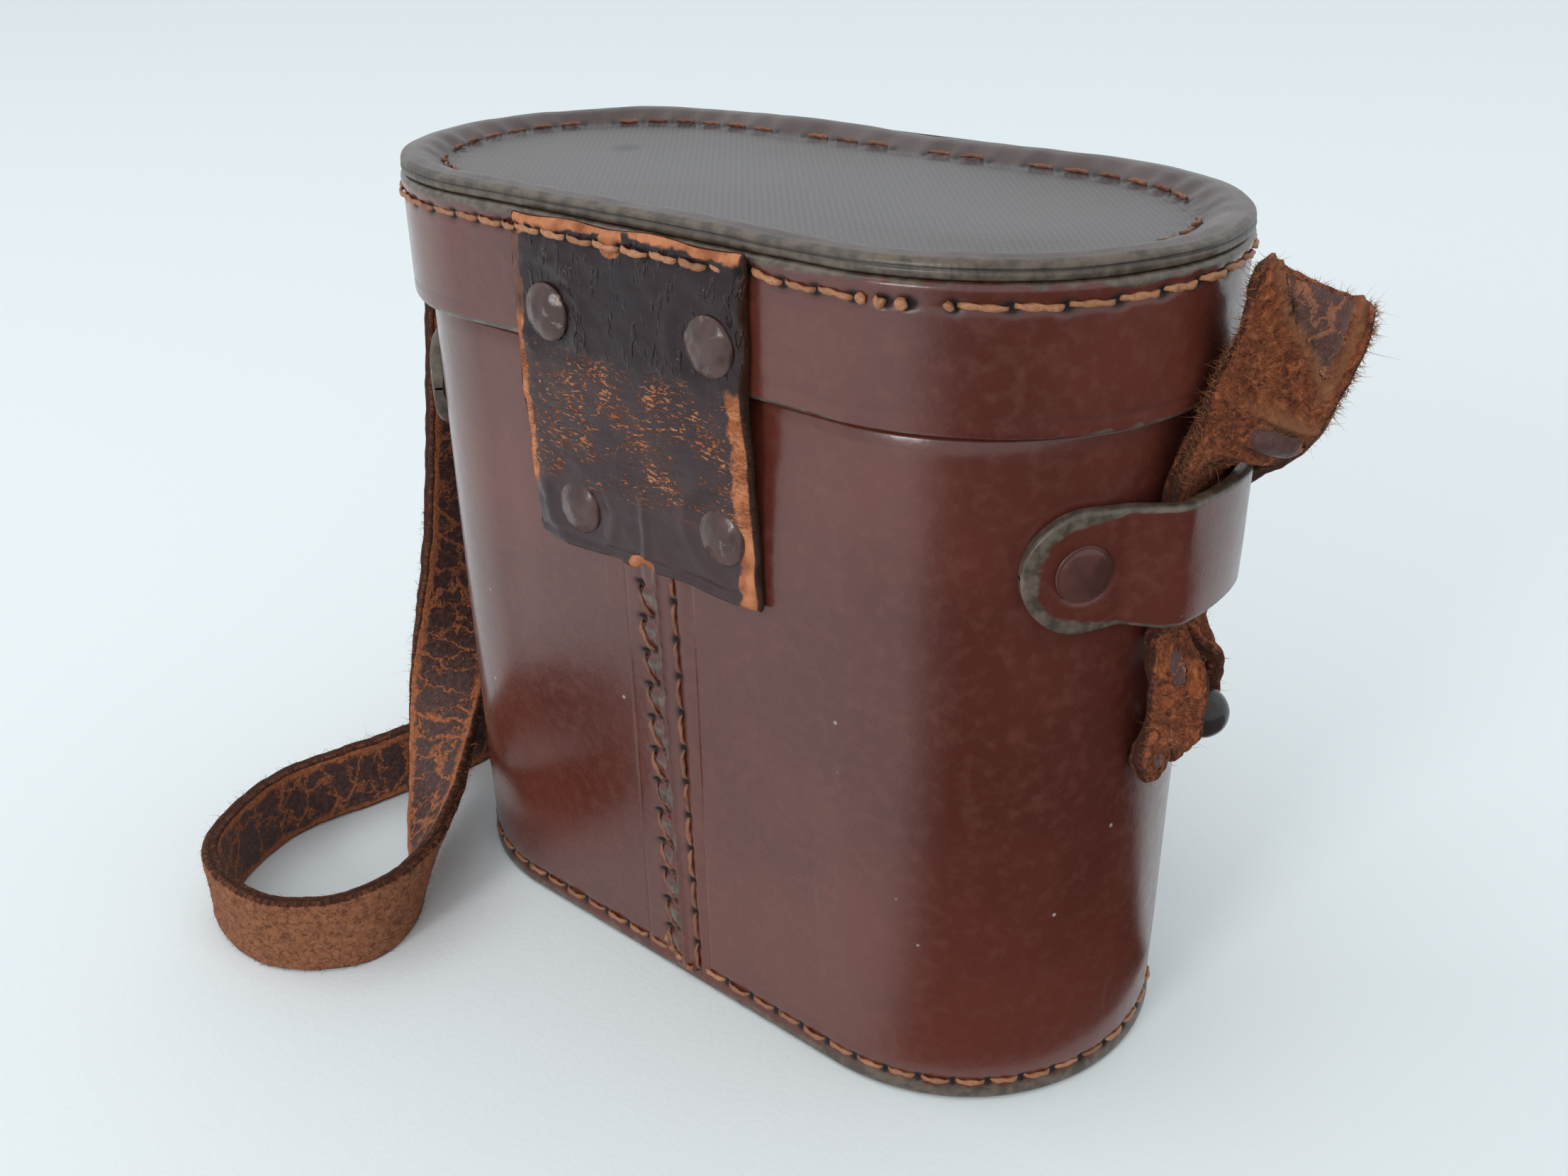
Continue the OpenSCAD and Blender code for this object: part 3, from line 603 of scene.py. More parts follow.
# ---- shoulder strap
strap = {"width": 0.015, "thick": 0.003, "gap": 0.0007, "slitTo": 0.0255, "halfWide": 0.0074,
         "halfThick": 0.0029,
         "fibres": 8200, "halfFibres": 420}
across, back, down = (0, 1, 0), (0, -1, 0), (0, 0, -1)
strapLine = [
    ((71.9, 0, 56), across), ((71.9, 0, 70), across), ((71.9, 0, 84), across), ((71.9, 0, 98), across),
    ((72.2, 0, 103.2), (0.05, 1, 0)), ((77.8, 0, 110), (0.6, 0.75, -0.3)),
    ((80.7, 0, 115.8), (0.8, 0.43, -0.4)),
    ((82.9, 0, 122), (0.8, 0.43, -0.4)), ((83.5, 0.4, 126), (0.8, 0.43, -0.4)),
    ((83.4, 1.9, 128.3), (0.8, 0.43, -0.4)), ((82, 3.5, 127.2), (0.8, 0.43, -0.4)),
    ((81.6, 6, 121), (0.6, -0.05, -0.75)), ((80, 10, 114.5), (0.6, -0.4, -0.7)),
    ((76.5, 15.5, 108.5), (0.4, -0.5, -0.75)), ((70.5, 23, 102), (0.25, -0.6, -0.7)),
    ((63, 32, 94), (0.35, -0.6, -0.7)), ((54, 40, 82), (0.5, -0.45, -0.7)),
    ((46, 45, 64), (0.7, -0.2, -0.6)),
    ((39, 48, 44), (0.85, 0, -0.5)), ((31, 50.5, 22), (0.7, 0, -0.7)), ((18, 52, 9), (0.2, 0, -1)),
    ((0, 52, 7.6), down), ((-40, 52, 7.6), down),
    ((-54, 55, 7.6), down), ((-54, 63, 7.6), down), ((-40, 66, 7.6), down), ((0, 66, 7.6), down),
    ((13, 69, 7.6), down), ((13, 77, 7.6), down), ((0, 80, 7.6), down), ((-40, 80, 7.6), down),
    ((-76, 70, 7.6), down), ((-90, 45, 7.6), down), ((-84, 15, 7.6), down), ((-80, -12, 7.6), down),
    ((-84, -34, 7.6), down), ((-88, -56, 7.6), down), ((-78, -76, 7.6), down), ((-58, -79, 7.6), down),
    ((-45, -68, 7.6), down), ((-47, -53, 8), (-0.2, -0.2, -1)), ((-62, -37, 10.5), (-0.6, -0.4, -0.6)),
    ((-75, -23, 21), (-0.5, -0.8, -0.4)), ((-80, -14, 42), (-0.1, -1, -0.3)), ((-80, -8.5, 70), back),
    ((-79, -5, 98), back), ((-79.3, -3, 112), back), ((-77.5, -2, 117), back), ((-75.5, -1, 112.5), back),
    ((-71.95, 0, 103.5), back), ((-71.9, 0, 84), back), ((-71.9, 0, 70), back), ((-71.9, 0, 56), back)]


def strapFrame():
    # Middle line, direction of the width and outward direction of the flesh side, every gap of the strap.
    middle = splineThrough([p for p, _ in strapLine], 12) * mm
    wide = splineThrough([w for _, w in strapLine], 12)
    far, (middle, wide) = evenly(middle, strap["gap"], wide)
    along = unit(np.gradient(middle, axis=0))
    wide = unit(wide - (wide * along).sum(1, keepdims=True) * along)
    return far, middle, wide, -np.cross(along, wide)


# Spots on the flesh side: distance from the strap's end, place across it, half length, half width, lean,
# sharpness.
relief = {"tongue": (0.0572, 0.0030, 0.0023, 0.0045, -0.10, 1.6),
          "collar": (0.0606, 0.0026, 0.0012, 0.0050, -0.10, 1.3),
          "crumple": (0.0532, 0.0036, 0.0014, 0.0030, 0.25, 1.5),
          "mouth": (0.0503, -0.0002, 0.0011, 0.0032, 0.20, 2.0),
          "gapNear": (0.0549, 0.0026, 0.0004, 0.0036, -0.05, 1.0),
          "gapFar": (0.0593, 0.0030, 0.0004, 0.0040, -0.10, 1.0),
          "spotFar": (0.0200, -0.0022, 0.0020, 0.0012, 0.0, 2.0),
          "spotNear": (0.0036, -0.0022, 0.0020, 0.0016, 0.0, 2.0)}


def strapRelief(far, x, side):
    # The grain patch near the fold is a corner cut off by a slanting line, with a raised lip and a slit
    # along that line. The knotted tongue above the loop is soft mounds over a hole.
    def spot(name):
        # A bell over the distances from the spot's middle, in half lengths and half widths.
        u, v, long, wide, lean, power = relief[name]
        return bell((far - u) / long, (x - v - lean * (far - u)) / wide, sharp=power)
    cut = x + 0.0064 - 1.05 * (0.0772 - far)  # distance past the slanting line
    inside = (1 - rise(x, 0.0040, 0.0048)) * (1 - rise(far, 0.0752, 0.0768)) * rise(far, 0.0640, 0.0662)
    corner = rise(cut, -0.0004, 0.0003) * inside
    lip = bell((cut + 0.0006) / 0.00075) * (1 - rise(x, 0.0045, 0.0062))
    lip = lip * (1 - rise(far, 0.0765, 0.0790)) * rise(far, 0.0625, 0.0655)
    rim = bell((x - 0.0053) / 0.0007) * rise(far, 0.063, 0.066) * (1 - rise(far, 0.0760, 0.0780))
    slit = (bell((cut - 0.0004) / 0.00022) * rise(x, -0.0050, -0.0042) * (1 - rise(x, 0.0010, 0.0022))
            * inside)
    tongue, collar, mouth = spot("tongue"), spot("collar"), spot("mouth")
    gap = spot("gapNear") + spot("gapFar")
    flesh = side > 0.5
    patch = np.clip(corner + tongue + spot("spotFar") + spot("spotNear"), 0, 1) * flesh
    raised = 0.0010 * lip + 0.0006 * rim + 0.0024 * tongue + 0.0016 * collar + 0.0015 * spot("crumple")
    sunk = 0.0002 * corner + 0.0006 * slit + 0.0009 * mouth + 0.0006 * gap
    # Painted shade for the mouth, the slit and the gaps by the tongue.
    shade = np.clip(mouth + slit + 0.8 * gap, 0, 1) * flesh
    return patch, (raised - sunk) * flesh, shade, np.clip(lip + 0.8 * rim + 0.9 * collar, 0, 1) * flesh


def buildStrap():
    # A rounded flat section carried along the strap's line; both faces ripple a little and the edges fray.
    far, middle, wide, flesh = strapFrame()
    keep = far >= strap["slitTo"] - 0.0008
    profile = slabProfile(strap["width"], strap["thick"], 0.0009, 20, 14, 3)
    fray = 1 + 0.018 * waves(middle, 0.007, 4) + 0.012 * waves(middle, 0.0026, 5)
    taper = endTaper(far - far[keep][0] + 0.0004, 0.002) * endTaper(far[-1] - far + 0.0002, 0.0015)
    points = sweep(middle, wide, flesh, strap["width"] * fray, strap["thick"] * taper, profile)
    farGrid, x, side = np.broadcast_arrays(far[:, None], profile[None, :, 0] * strap["width"],
                                           (profile[None, :, 1] > -0.12) * 1.0)
    patch, height, shade, lip = strapRelief(farGrid, x, side)
    rough = 0.00012 * waves(points, 0.0022, 6) + 0.00016 * waves(points, 0.0060, 7)
    out = (profile[None, :, 1, None] * 2) * flesh[:, None]
    points = (points + out * (height + rough * (side > 0.5) * (np.abs(profile[None, :, 0]) < 0.46))[...,
                                                                                                    None])
    points[..., 2] = np.maximum(points[..., 2], 0.00005)
    marks = {"along": farGrid * 1000, "across": x * 1000, "side": side, "patch": patch, "shade": shade,
             "lip": lip,
             "fromEdge": (0.5 - np.abs(profile[None, :, 0])) * strap["width"] * 1000 * np.ones_like(x)}
    return far, middle, wide, flesh, points[keep], {k: v[keep] for k, v in marks.items()}


def slitHalf(sign):
    # One half of the split end round the ball stud, a flat section along a line: it starts flat below the
    # loop, stands out and turns on edge beside the ball, and lies flat again at the tip. sign is -1 toward
    # the hinge side.
    end = strap["slitTo"] + 0.001
    u = np.linspace(0, end, 60)
    spread = rise(u, 0.004, 0.0115) * (1 - rise(u, 0.0175, 0.0250))
    reach, part, lean = (0.0042, 0.0020, 58) if sign < 0 else (0.0022, 0.0030, 48)
    shift = -0.0010 * rise(u, 0.0, 0.006) * (1 - rise(u, 0.020, end))
    middle = np.stack([0.0719 + spread * reach + 0.5 * shift, sign * (0.0036 + spread * part) + shift,
                       0.056 + u], -1)
    turn = spread * math.radians(lean)
    wide = np.stack([-sign * np.sin(turn), np.cos(turn), 0 * turn], -1)
    along = unit(np.gradient(middle, axis=0))
    wide = unit(wide - (wide * along).sum(1, keepdims=True) * along)
    face = -np.cross(along, wide)
    width = (strap["halfWide"] + 0.0006 * spread) * (0.35 + 0.65 * endTaper(u + 0.0006, 0.006))
    width = width * (1 + 0.03 * waves(middle, 0.004, 31))
    taper = endTaper(u + 0.0003, 0.0016) * endTaper(end - u + 0.0003, 0.002)
    profile = slabProfile(strap["halfWide"], 0.0027, 0.0008, 16, 10, 3)
    points = sweep(middle, wide, face, width, strap["halfThick"] * taper, profile)
    points = (points + (profile[None, :, 1, None] * face[:, None])
              * (0.0005 * waves(points, 0.003, 33))[..., None])
    farGrid, x, side = np.broadcast_arrays(u[:, None],
                                           profile[None, :, 0] * strap["halfWide"] + sign * 0.0037,
                                           (profile[None, :, 1] > -0.2) * 1.0)
    patch = strapRelief(farGrid, x + 0.0015, side)[0]
    marks = {"along": farGrid * 1000, "across": x * 1000, "side": side, "patch": patch, "shade": 0 * x,
             "lip": 0 * x,
             "fromEdge": (0.5 - np.abs(profile[None, :, 0])) * 7.4 * np.ones_like(x)}
    return middle, wide, face, points, marks


def fibreTubes(name, roots, ways, bends, length, thick, shade):
    # Loose fibres: three-sided tapering hairs, the point at share t being root + way*t + bend*t*t, times
    # length.
    t = np.linspace(0, 1, 4)[None, :, None]
    line = roots[:, None] + (ways[:, None] * t + bends[:, None] * t * t) * length[:, None, None]
    along = unit(np.gradient(line, axis=1))
    aside = unit(np.cross(along, unit(bends + 0.01)[:, None] + [0.01, 0.02, 0.03]))
    third = np.cross(along, aside)
    angle = np.arange(3) * 2 * np.pi / 3
    size = (thick[:, None] * (1 - 0.9 * t[..., 0]))[..., None, None]
    ring = aside[:, :, None] * np.cos(angle)[:, None] + third[:, :, None] * np.sin(angle)[:, None]
    points = line[:, :, None] + ring * size
    points[..., 2] = np.maximum(points[..., 2], 0.0001)
    return skin(name, points, fibreSkin, "case_body",
                marks={"shade": shade[:, None, None]})


def buildFibres(far, middle, wide, flesh, halves):
    # Fibres grow on the flesh side and thicker along both edges, mostly where the strap is in the open.
    dice = np.random.default_rng(77)
    count = strap["fibres"]
    shown = np.where((far > 0.050) & (far < 0.080) | (far > 0.560)
                     & (far < 0.775))[0]  # above the loop, and the fall
    busy = np.where((far > 0.048) & (far < 0.082))[0]
    pick = np.concatenate([dice.choice(busy, count // 2), dice.choice(shown, count - count // 2)])
    place = dice.uniform(-0.5, 0.5, count)
    edge = dice.random(count) < 0.45
    place = np.where(edge, np.sign(place) * 0.5, place)
    out = np.where(edge, dice.uniform(-0.25, 0.5, count), 0.5)
    roots = middle[pick] + wide[pick] * (place * strap["width"])[:, None]
    roots = roots + flesh[pick] * (out * strap["thick"] - 0.0001)[:, None]
    sideways = np.where(edge, np.sign(place), dice.normal(0, 0.5, count))
    ways = unit(wide[pick] * sideways[:, None] + flesh[pick] * np.where(edge, 0.35, 0.55)[:, None]
                + dice.normal(0, 0.45, (count, 3)))
    for centre, side, face in halves:
        number = strap["halfFibres"]
        p = dice.integers(2, len(centre) - 2, number)
        q = dice.uniform(-0.5, 0.5, number)
        onHalf = centre[p] + side[p] * (q * strap["halfWide"])[:, None] + face[p] * 0.0012
        roots = np.concatenate([roots, onHalf])
        ways = np.concatenate([ways,
                               unit(face[p] * 0.6 + side[p] * (q * 2)[:, None]
                                    + dice.normal(0, 0.4, (number, 3)))])
    total = len(roots)
    bends = dice.normal(0, 0.55, (total, 3))
    length = np.minimum(dice.gamma(2.6, 0.00023, total), 0.0018)
    thick = dice.uniform(0.00003, 0.00006, total)
    return fibreTubes("strapFibres", roots, ways, bends, length, thick, dice.uniform(0, 1, total))


far, strapMiddle, strapWide, strapFlesh, strapPoints, strapMarks = buildStrap()
shoulderStrap = skin("shoulderStrap", strapPoints, strapSkin, marks=strapMarks)
halves = [slitHalf(-1), slitHalf(1)]
slitPieces = [skin(f"strapSlit{k}", half[3], strapSkin, marks=half[4])
              for k, half in enumerate(halves)]
with bpy.context.temp_override(active_object=shoulderStrap,
                               selected_editable_objects=[shoulderStrap, *slitPieces]):
    bpy.ops.object.join()
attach(shoulderStrap, "case_body")
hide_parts("shoulder_strap")
strapFibres = buildFibres(far, strapMiddle, strapWide, strapFlesh, [half[:3] for half in halves])
strapMiddle[::6].tolist() + [strapMiddle[-1].tolist()]


# ---- stitches
def threadStitches(name, starts, ends, outward, radius, material, body, seed, twist=3.6, sink=0.0005,
                   samples=11):
    # Two-ply thread from hole to hole: the line bows outward and dives at both ends; the section has two
    # lobes that turn along it. starts and ends are (stitches, 3); outward is the direction away from the
    # leather.
    dice = np.random.default_rng(seed)
    number = len(starts)
    t = np.linspace(0, 1, samples)[None, :]
    lift = -sink + (sink + radius * 0.55) * (1 - np.abs(2 * t - 1) ** 5)
    lift = lift + dice.uniform(-0.00008, 0.00012, (number, 1))
    wander = dice.normal(0, 0.00008, (number, 1, 3)) * np.sin(np.pi * t)[..., None]
    line = (starts[:, None] + (ends - starts)[:, None] * t[..., None] + outward[:, None] * lift[..., None]
            + wander)
    along = unit(ends - starts)[:, None]
    aside = unit(np.cross(along, outward[:, None]))
    turn = np.arange(8) * 2 * np.pi / 8
    swell = radius * (0.72 + 0.28 * np.sin(np.pi * t) ** 0.6) * dice.uniform(0.88, 1.12, (number, 1))
    phase = twist * np.pi * t[..., None] + dice.uniform(0, 6.28, (number, 1, 1))
    lobes = 1 + 0.22 * np.cos(2 * turn[None, None] + phase)
    size = swell[..., None] * lobes
    ring = aside[:, :, None] * np.cos(turn)[:, None] * 1.1
    ring = ring + outward[:, None, None] * np.sin(turn)[:, None] * 0.85
    points = line[:, :, None] + ring * size[..., None]
    caps = np.broadcast_to(line[:, [0, -1]][:, :, None], (number, 2, 8, 3))
    points = np.concatenate([caps[:, :1], points, caps[:, 1:]], 1)
    shade = dice.beta(1.2, 2.6, number)[:, None, None]  # mostly light, a few dark
    return skin(name, points, material, body, marks={"shade": shade})


lidRow = {"height": 0.1293, "flapHeight": 0.1300, "start": 0.0527, "stop": 0.0408, "pitch": 0.00545,
          "wide": 0.0009,
          "ends": (0.0418, 0.0440, 0.0466, 0.0520), "endHeights": (0.1293, 0.1292, 0.1292, 0.1294)}
baseRow = {"height": 0.0036, "start": 0.0068, "stop": 0.0045, "pitch": 0.00555}
innerRow = {"height": 0.1332, "off": -0.0047, "start": 0.001, "pitch": 0.0064}


def rowHoles(start, stop, pitch, extra=0.0):
    # Hole places along the outline from start once round to stop, the first gaps a little wider by extra.
    total = perimeter + stop - start
    places = [start]
    while places[-1] < start + total - pitch * 0.6:
        places.append(places[-1] + pitch + extra * math.exp(-(places[-1] - start) / 0.04))
    places = np.array(places)
    return start + (places - start) * total / (places[-1] - start)


lidHoles = rowHoles(lidRow["start"], lidRow["stop"], lidRow["pitch"], lidRow["wide"])
baseHoles = rowHoles(baseRow["start"], baseRow["stop"], baseRow["pitch"])
innerHoles = rowHoles(innerRow["start"], innerRow["start"], innerRow["pitch"])
overThick = tabRootHigh.y - tabRootLow.y  # flap and tab have one thickness


def overLeather(s):
    # 1 where the lid's row of stitches runs over the hinge flap or the root of the closure tab.
    near = fromHinge(s)
    overFlap = (rise(near, flapLow.x + 0.0002, flapLow.x + 0.0014)
                * (1 - rise(near, flapHigh.x - 0.001, flapHigh.x + 0.0004)))
    front = np.abs(np.mod(s, perimeter) - perimeter / 2)
    return overFlap + (1 - rise(front, tabRootHigh.x - 0.001, tabRootHigh.x))


def lidRowHeight(s):
    # The row runs level, a little higher on the flap and rising toward the far side.
    near = fromHinge(s)
    onFlap = rise(near, -0.024, -0.018) * (1 - rise(near, 0.024, 0.030))
    height = lidRow["height"] + onFlap * (lidRow["flapHeight"] - lidRow["height"])
    return height + 0.0007 * rise(near, 0.066, 0.085)


def rowStitches(name, holesAndShade, height, off, radius, material, body, seed, slant=0.0002, skip=(), fill=0.92,
                **more):
    # One stitch between each two neighbouring holes, slanted by a fixed drop.
    a, b = holesAndShade[:-1], holesAndShade[1:]
    kept = np.array([k not in skip for k in range(len(a))])
    a, b = a[kept], b[kept]
    middle, half = (a + b) / 2, (b - a) / 2 * fill
    a, b = middle - half, middle + half
    starts = onWall(a, height(a) + slant, off(a))
    ends = onWall(b, height(b) - slant, off(b))
    _, normal = planAt(middle, 0 * middle)
    outward = np.concatenate([normal, 0 * normal[:, :1]], -1)
    return threadStitches(name, starts, ends, outward, radius, material, body, seed, **more)


def knots(name, places, outs, radius, body, seed):
    # Cut thread ends: little two-lobed buds, one short stitch of random direction each, on the surface.
    dice = np.random.default_rng(seed)
    aside = unit(dice.normal(size=places.shape) * [1, 0.3, 1])
    aside = aside - (aside * outs).sum(1, keepdims=True) * outs
    return threadStitches(name, places - aside * 0.0008, places + aside * 0.0008, outs, radius, threadTan,
                          body, seed, twist=2.0, sink=0.0002)


outerStitches = rowStitches("lidStitchesOuter", lidHoles, lidRowHeight,
                            lambda s: skirtStep + overLeather(s) * overThick,
                            0.00043, threadTan, "lid", 11, fill=0.90, samples=21, twist=4.0)
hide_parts("lid_stitching_outer")
baseStitches = rowStitches("baseStitches", baseHoles, lambda s: baseRow["height"] + 0 * s,
                           lambda s: 0 * s - 0.0001,
                           0.00038, threadTan, "case_body", 12, slant=0.0001, fill=0.84)
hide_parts("base_stitching")
hidden = [k for k in range(len(innerHoles) - 1) if k % 7 == 3 or k % 11 == 5]  # sunk into the border
innerStitches = rowStitches("lidStitchesInner", innerHoles, lambda s: innerRow["height"] + 0 * s,
                            lambda s: innerRow["off"] + 0 * s, 0.00032, threadRed, "lid", 13, slant=0.0,
                            skip=hidden, fill=0.66)
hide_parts("lid_stitching_inner")
endAt = np.array(lidRow["ends"])
endNormals = np.concatenate([planAt(endAt, 0 * endAt)[1], np.zeros((len(endAt), 1))], -1)
knots("lidThreadEnds", onWall(endAt, np.array(lidRow["endHeights"]), skirtStep - 0.0001), endNormals,
      0.00062, "lid", 14)
print("rows stitched")


def nearest(values, targets):
    # Distance from each value to the closest target round the outline.
    return np.abs(fromHinge(values[..., None] - targets)).min(-1)


# ---- body wall
bodyShape = {"columns": 768, "wall": 0.0022, "mouthInset": 0.0008, "edge": 0.0011, "wave": 0.00010,
             "rimSwell": 0.00035, "underSeam": 0.0012}


def bodyProfile():
    # Section of the wall from the rim of the base up the outside, over the thin mouth and down the inside.
    top, mouth = skirtLow.z - 0.0007, bodyHigh.z
    edge, wall = bodyShape["edge"], bodyShape["wall"]
    q = np.linspace(0, np.pi / 2, 6)
    rim = np.stack([-edge * (1 - np.sin(q)), edge * (1 - np.cos(q))], -1)
    low = np.stack([np.zeros(11), np.linspace(edge, 0.0062, 12)[1:]], -1)
    side = np.stack([np.zeros(36), np.linspace(0.0062, top - 0.0006, 37)[1:]], -1)
    inset = -bodyShape["mouthInset"]
    step = np.array([[-0.0003, top - 0.0001], [inset + 0.0001, top], [inset, top + 0.0003]])
    neck = np.stack([np.full(5, inset), np.linspace(top + 0.0003, mouth - 0.0005, 6)[1:]], -1)
    lip = np.array([[inset - 0.0003, mouth], [-wall + 0.0003, mouth], [-wall, mouth - 0.0005]])
    inside = np.stack([np.full(5, -wall), np.linspace(mouth - 0.0005, 0.0001, 6)[1:]], -1)
    return np.concatenate([rim, low, side, step, neck, lip, inside])


def wallRipple(points, z):
    # Slow bulges of the wall: long waves plus short upright ones, fading out toward the base.
    wave = bodyShape["wave"]
    return (wave * 1.6 * waves(points * [1, 1, 0.55], 0.050, 21)
            + wave * 0.35 * waves(points * [1, 1, 0.25], 0.013, 22)) * rise(z, 0.004, 0.02)


def buildBody():
    # The profile swept round the outline; the outside bulges slowly, dips at each stitch hole and swells at
    # the rim.
    s, off, z, points = carriedRound(bodyProfile(), bodyShape["columns"])
    outer = (off > -0.0006) & (z < skirtLow.z - 0.0012)
    # Stitch holes of the base row: dented a little, and painted near-black as shade through the "hole" mark.
    hole = bell(nearest(s, baseHoles)[None] / 0.0008, (z - baseRow["height"]) / 0.0007) * outer
    groove = bell((z - baseRow["height"]) / 0.0008) * outer
    near = fromHinge(s)[None]
    under = (rise(near, -0.0058, -0.0048) * (1 - rise(near, 0.0076, 0.0088)) * rise(z, 0.002, 0.003)
             * (1 - rise(z, 0.0805, 0.082)))
    ripple = wallRipple(points, z) - bodyShape["underSeam"] * under
    rim = bodyShape["rimSwell"] * bell((z - 0.0012) / 0.0014)
    push = (ripple + rim - 0.0004 * hole - 0.00018 * groove) * outer
    points = onWall(s[None, :], z, off + push)
    wear = 1.05 - (z - 0.0006) / 0.0026 * 0.62
    amount = 0.62 + 0.38 * (rise(s[None], 0.020, 0.050) * (1 - rise(s[None], 0.30, 0.33)))
    wear = np.clip(wear, 0, 1) * amount * outer + (z < 0.0006) * 0.9
    return skin("bodyWall", points, bodySkin, "case_body", ring=True,
                marks={"wear": np.clip(wear, 0, 1), "hole": np.clip(hole * 2.4, 0, 1)})


bodyWall = buildBody()
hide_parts("body_wall")
print("body wall drawn")


# ---- back seam
seam = {"left": -0.0065, "right": 0.0095, "low": 0.0012, "high": 0.083, "ridgeTop": 0.0013,
        "ridgeLow": 0.0032, "holesTop": -0.0030, "holesLow": -0.0009, "chainTop": 0.0046, "chainLow": 0.0060,
        "leftPitch": 0.0061, "chainPitch": 0.0066, "leftStart": 0.0085, "chainStart": 0.0022,
        "slant": 0.0026, "drop": 0.0048}


def leanLine(z, top, low):
    # Value that goes evenly from low at the base to top under the flap.
    return low + (top - low) * np.clip(z / 0.080, 0, 1)


leftZ = seam["leftStart"] + np.arange(12) * seam["leftPitch"]
chainZ = seam["chainStart"] + np.arange(13) * seam["chainPitch"]


def buildSeam():
    # A patch over the seam. Height above the wall: a ridge along the joint, a round lobe of leather pulled
    # up by each slanting stitch, dark holes left of the lobes and a shallow channel under the chain.
    x = np.linspace(seam["left"], seam["right"], 66)
    z = np.linspace(seam["low"], seam["high"], 300)
    x, z = np.meshgrid(x, z)
    ridge = leanLine(z, seam["ridgeTop"], seam["ridgeLow"])
    edge = leanLine(z, seam["holesTop"], seam["holesLow"])
    chain = leanLine(z, seam["chainTop"], seam["chainLow"])
    wobble = 0.00012 * np.sin(z * 900) + 0.00008 * np.sin(z * 2300 + 1)
    ridgeHeight = bell((x - ridge - wobble) / 0.00058)
    lobes, holesAndShade = np.zeros_like(x), np.zeros_like(x)
    pale = np.zeros_like(x)
    for zk in leftZ:
        side = leanLine(zk, seam["holesTop"], seam["holesLow"])
        fall = zk - z
        thread = side + seam["slant"] * fall / seam["drop"]
        pad = rise(x - thread, 0.0000, 0.0007) * (1 - rise(x - ridge, -0.0007, -0.0002))
        pad = pad * rise(fall, 0.0000, 0.0011) * (1 - rise(fall, 0.0026, 0.0046))
        lobes = np.maximum(lobes, pad)
        pale = np.maximum(pale, pad * (1 - rise(fall, 0.0012, 0.0032)))
        # Each hole, and a spot of painted shadow above the next lobe, are sunk and painted near-black as
        # shade.
        holesAndShade = np.maximum(holesAndShade, bell((x - side - 0.0001) / 0.00085, (z - zk - 0.0003) / 0.0005))
        holesAndShade = np.maximum(holesAndShade, 0.8 * bell((x - side - 0.0024) / 0.0006, (fall - 0.0051) / 0.0004))
    for zk in chainZ:
        side = leanLine(zk, seam["chainTop"], seam["chainLow"])
        holesAndShade = np.maximum(holesAndShade, bell((x - side) / 0.0007, (z - zk) / 0.0010))
    channel = bell((x - chain) / 0.0007)
    valley = bell((x - edge - 0.0006) / 0.0006)
    height = 0.00062 * ridgeHeight + 0.00075 * lobes - 0.00065 * holesAndShade - 0.00022 * channel
    height = height - 0.00018 * valley
    height = height + 0.00025 * rise(x, edge[0, 0] + 0.001, 0.002) * (1 - rise(x, 0.0065, 0.0088))
    border = rise(np.minimum(x - seam["left"], seam["right"] - x), 0.0, 0.0012)
    border = border * rise(np.minimum(z - seam["low"], seam["high"] - z), 0.0, 0.0010)
    height = height * border - 0.00015 * (1 - border)
    low = bell((z - 0.0012) / 0.0014) * bodyShape["rimSwell"]
    flat = np.stack([x, np.full_like(x, -endRadius), z], -1)
    y = -endRadius - height - low - wallRipple(flat, z)
    points = np.stack([x, y, z], -1)
    wear = np.clip(0.62 * ridgeHeight * (0.85 + 0.25 * np.sin(z * 700)) + 0.60 * pale + 0.1 * lobes, 0, 1)
    wear = np.maximum(wear, np.clip(1.05 - (z - 0.0006) / 0.0024, 0, 1) * 0.75)
    piece = skin("backSeam", points, bodySkin, "case_body", wrap=False,
                 marks={"wear": wear * border, "hole": np.clip(holesAndShade * 1.8, 0, 1) * border})
    inward = sum(face.normal.y for face in piece.data.polygons) > 0
    if inward:
        piece.data.flip_normals()


buildSeam()


def seamStitches():
    # Left row: each stitch slants from its hole down to the ridge. Right row: a chain of short upright ones.
    outs = np.tile([0.0, -1.0, 0.0], (len(leftZ), 1))
    side = leanLine(leftZ, seam["holesTop"], seam["holesLow"])
    wall = np.full(len(side), -endRadius - 0.0003)
    starts = np.stack([side, wall, leftZ - 0.0002], -1)
    ends = np.stack([side + seam["slant"], wall, leftZ - seam["drop"]], -1)
    left = threadStitches("seamStitchesLeft", starts, ends, outs, 0.00040, threadRed, "case_body", 15)
    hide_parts("seam_stitching_left")
    a, b = chainZ[1:], chainZ[:-1]
    outs = np.tile([0.0, -1.0, 0.0], (len(a), 1))
    xa, xb = (leanLine(v, seam["chainTop"], seam["chainLow"]) for v in (a, b))
    wall = np.full(len(a), -endRadius - 0.0001)
    starts = np.stack([xa - 0.0002, wall, a - 0.0005], -1)
    ends = np.stack([xb + 0.0002, wall, b + 0.0006], -1)
    right = threadStitches("seamStitchesRight", starts, ends, outs, 0.00042, threadRed, "case_body", 16)
    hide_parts("seam_stitching_right")
    foot = np.array([[0.0005, -0.0005, 0.0052], [0.0020, -0.0006, 0.0040], [0.0042, -0.0005, 0.0028],
                     [-0.0012, -0.0004, 0.0064]]) - [0, endRadius, 0]
    knots("seamThreadEnds", foot, np.tile([0.0, -1.0, 0.0], (4, 1)), 0.00055, "case_body", 17)


seamStitches()
print("seam sewn")


# ---- lid skirt
skirt = {"columns": 768, "inner": 0.0003, "edge": 0.0009, "rowFrom": 0.1268, "crease": 0.1153,
         "puff": 0.00018,
         "spareHoles": (0.0475, 0.0447)}


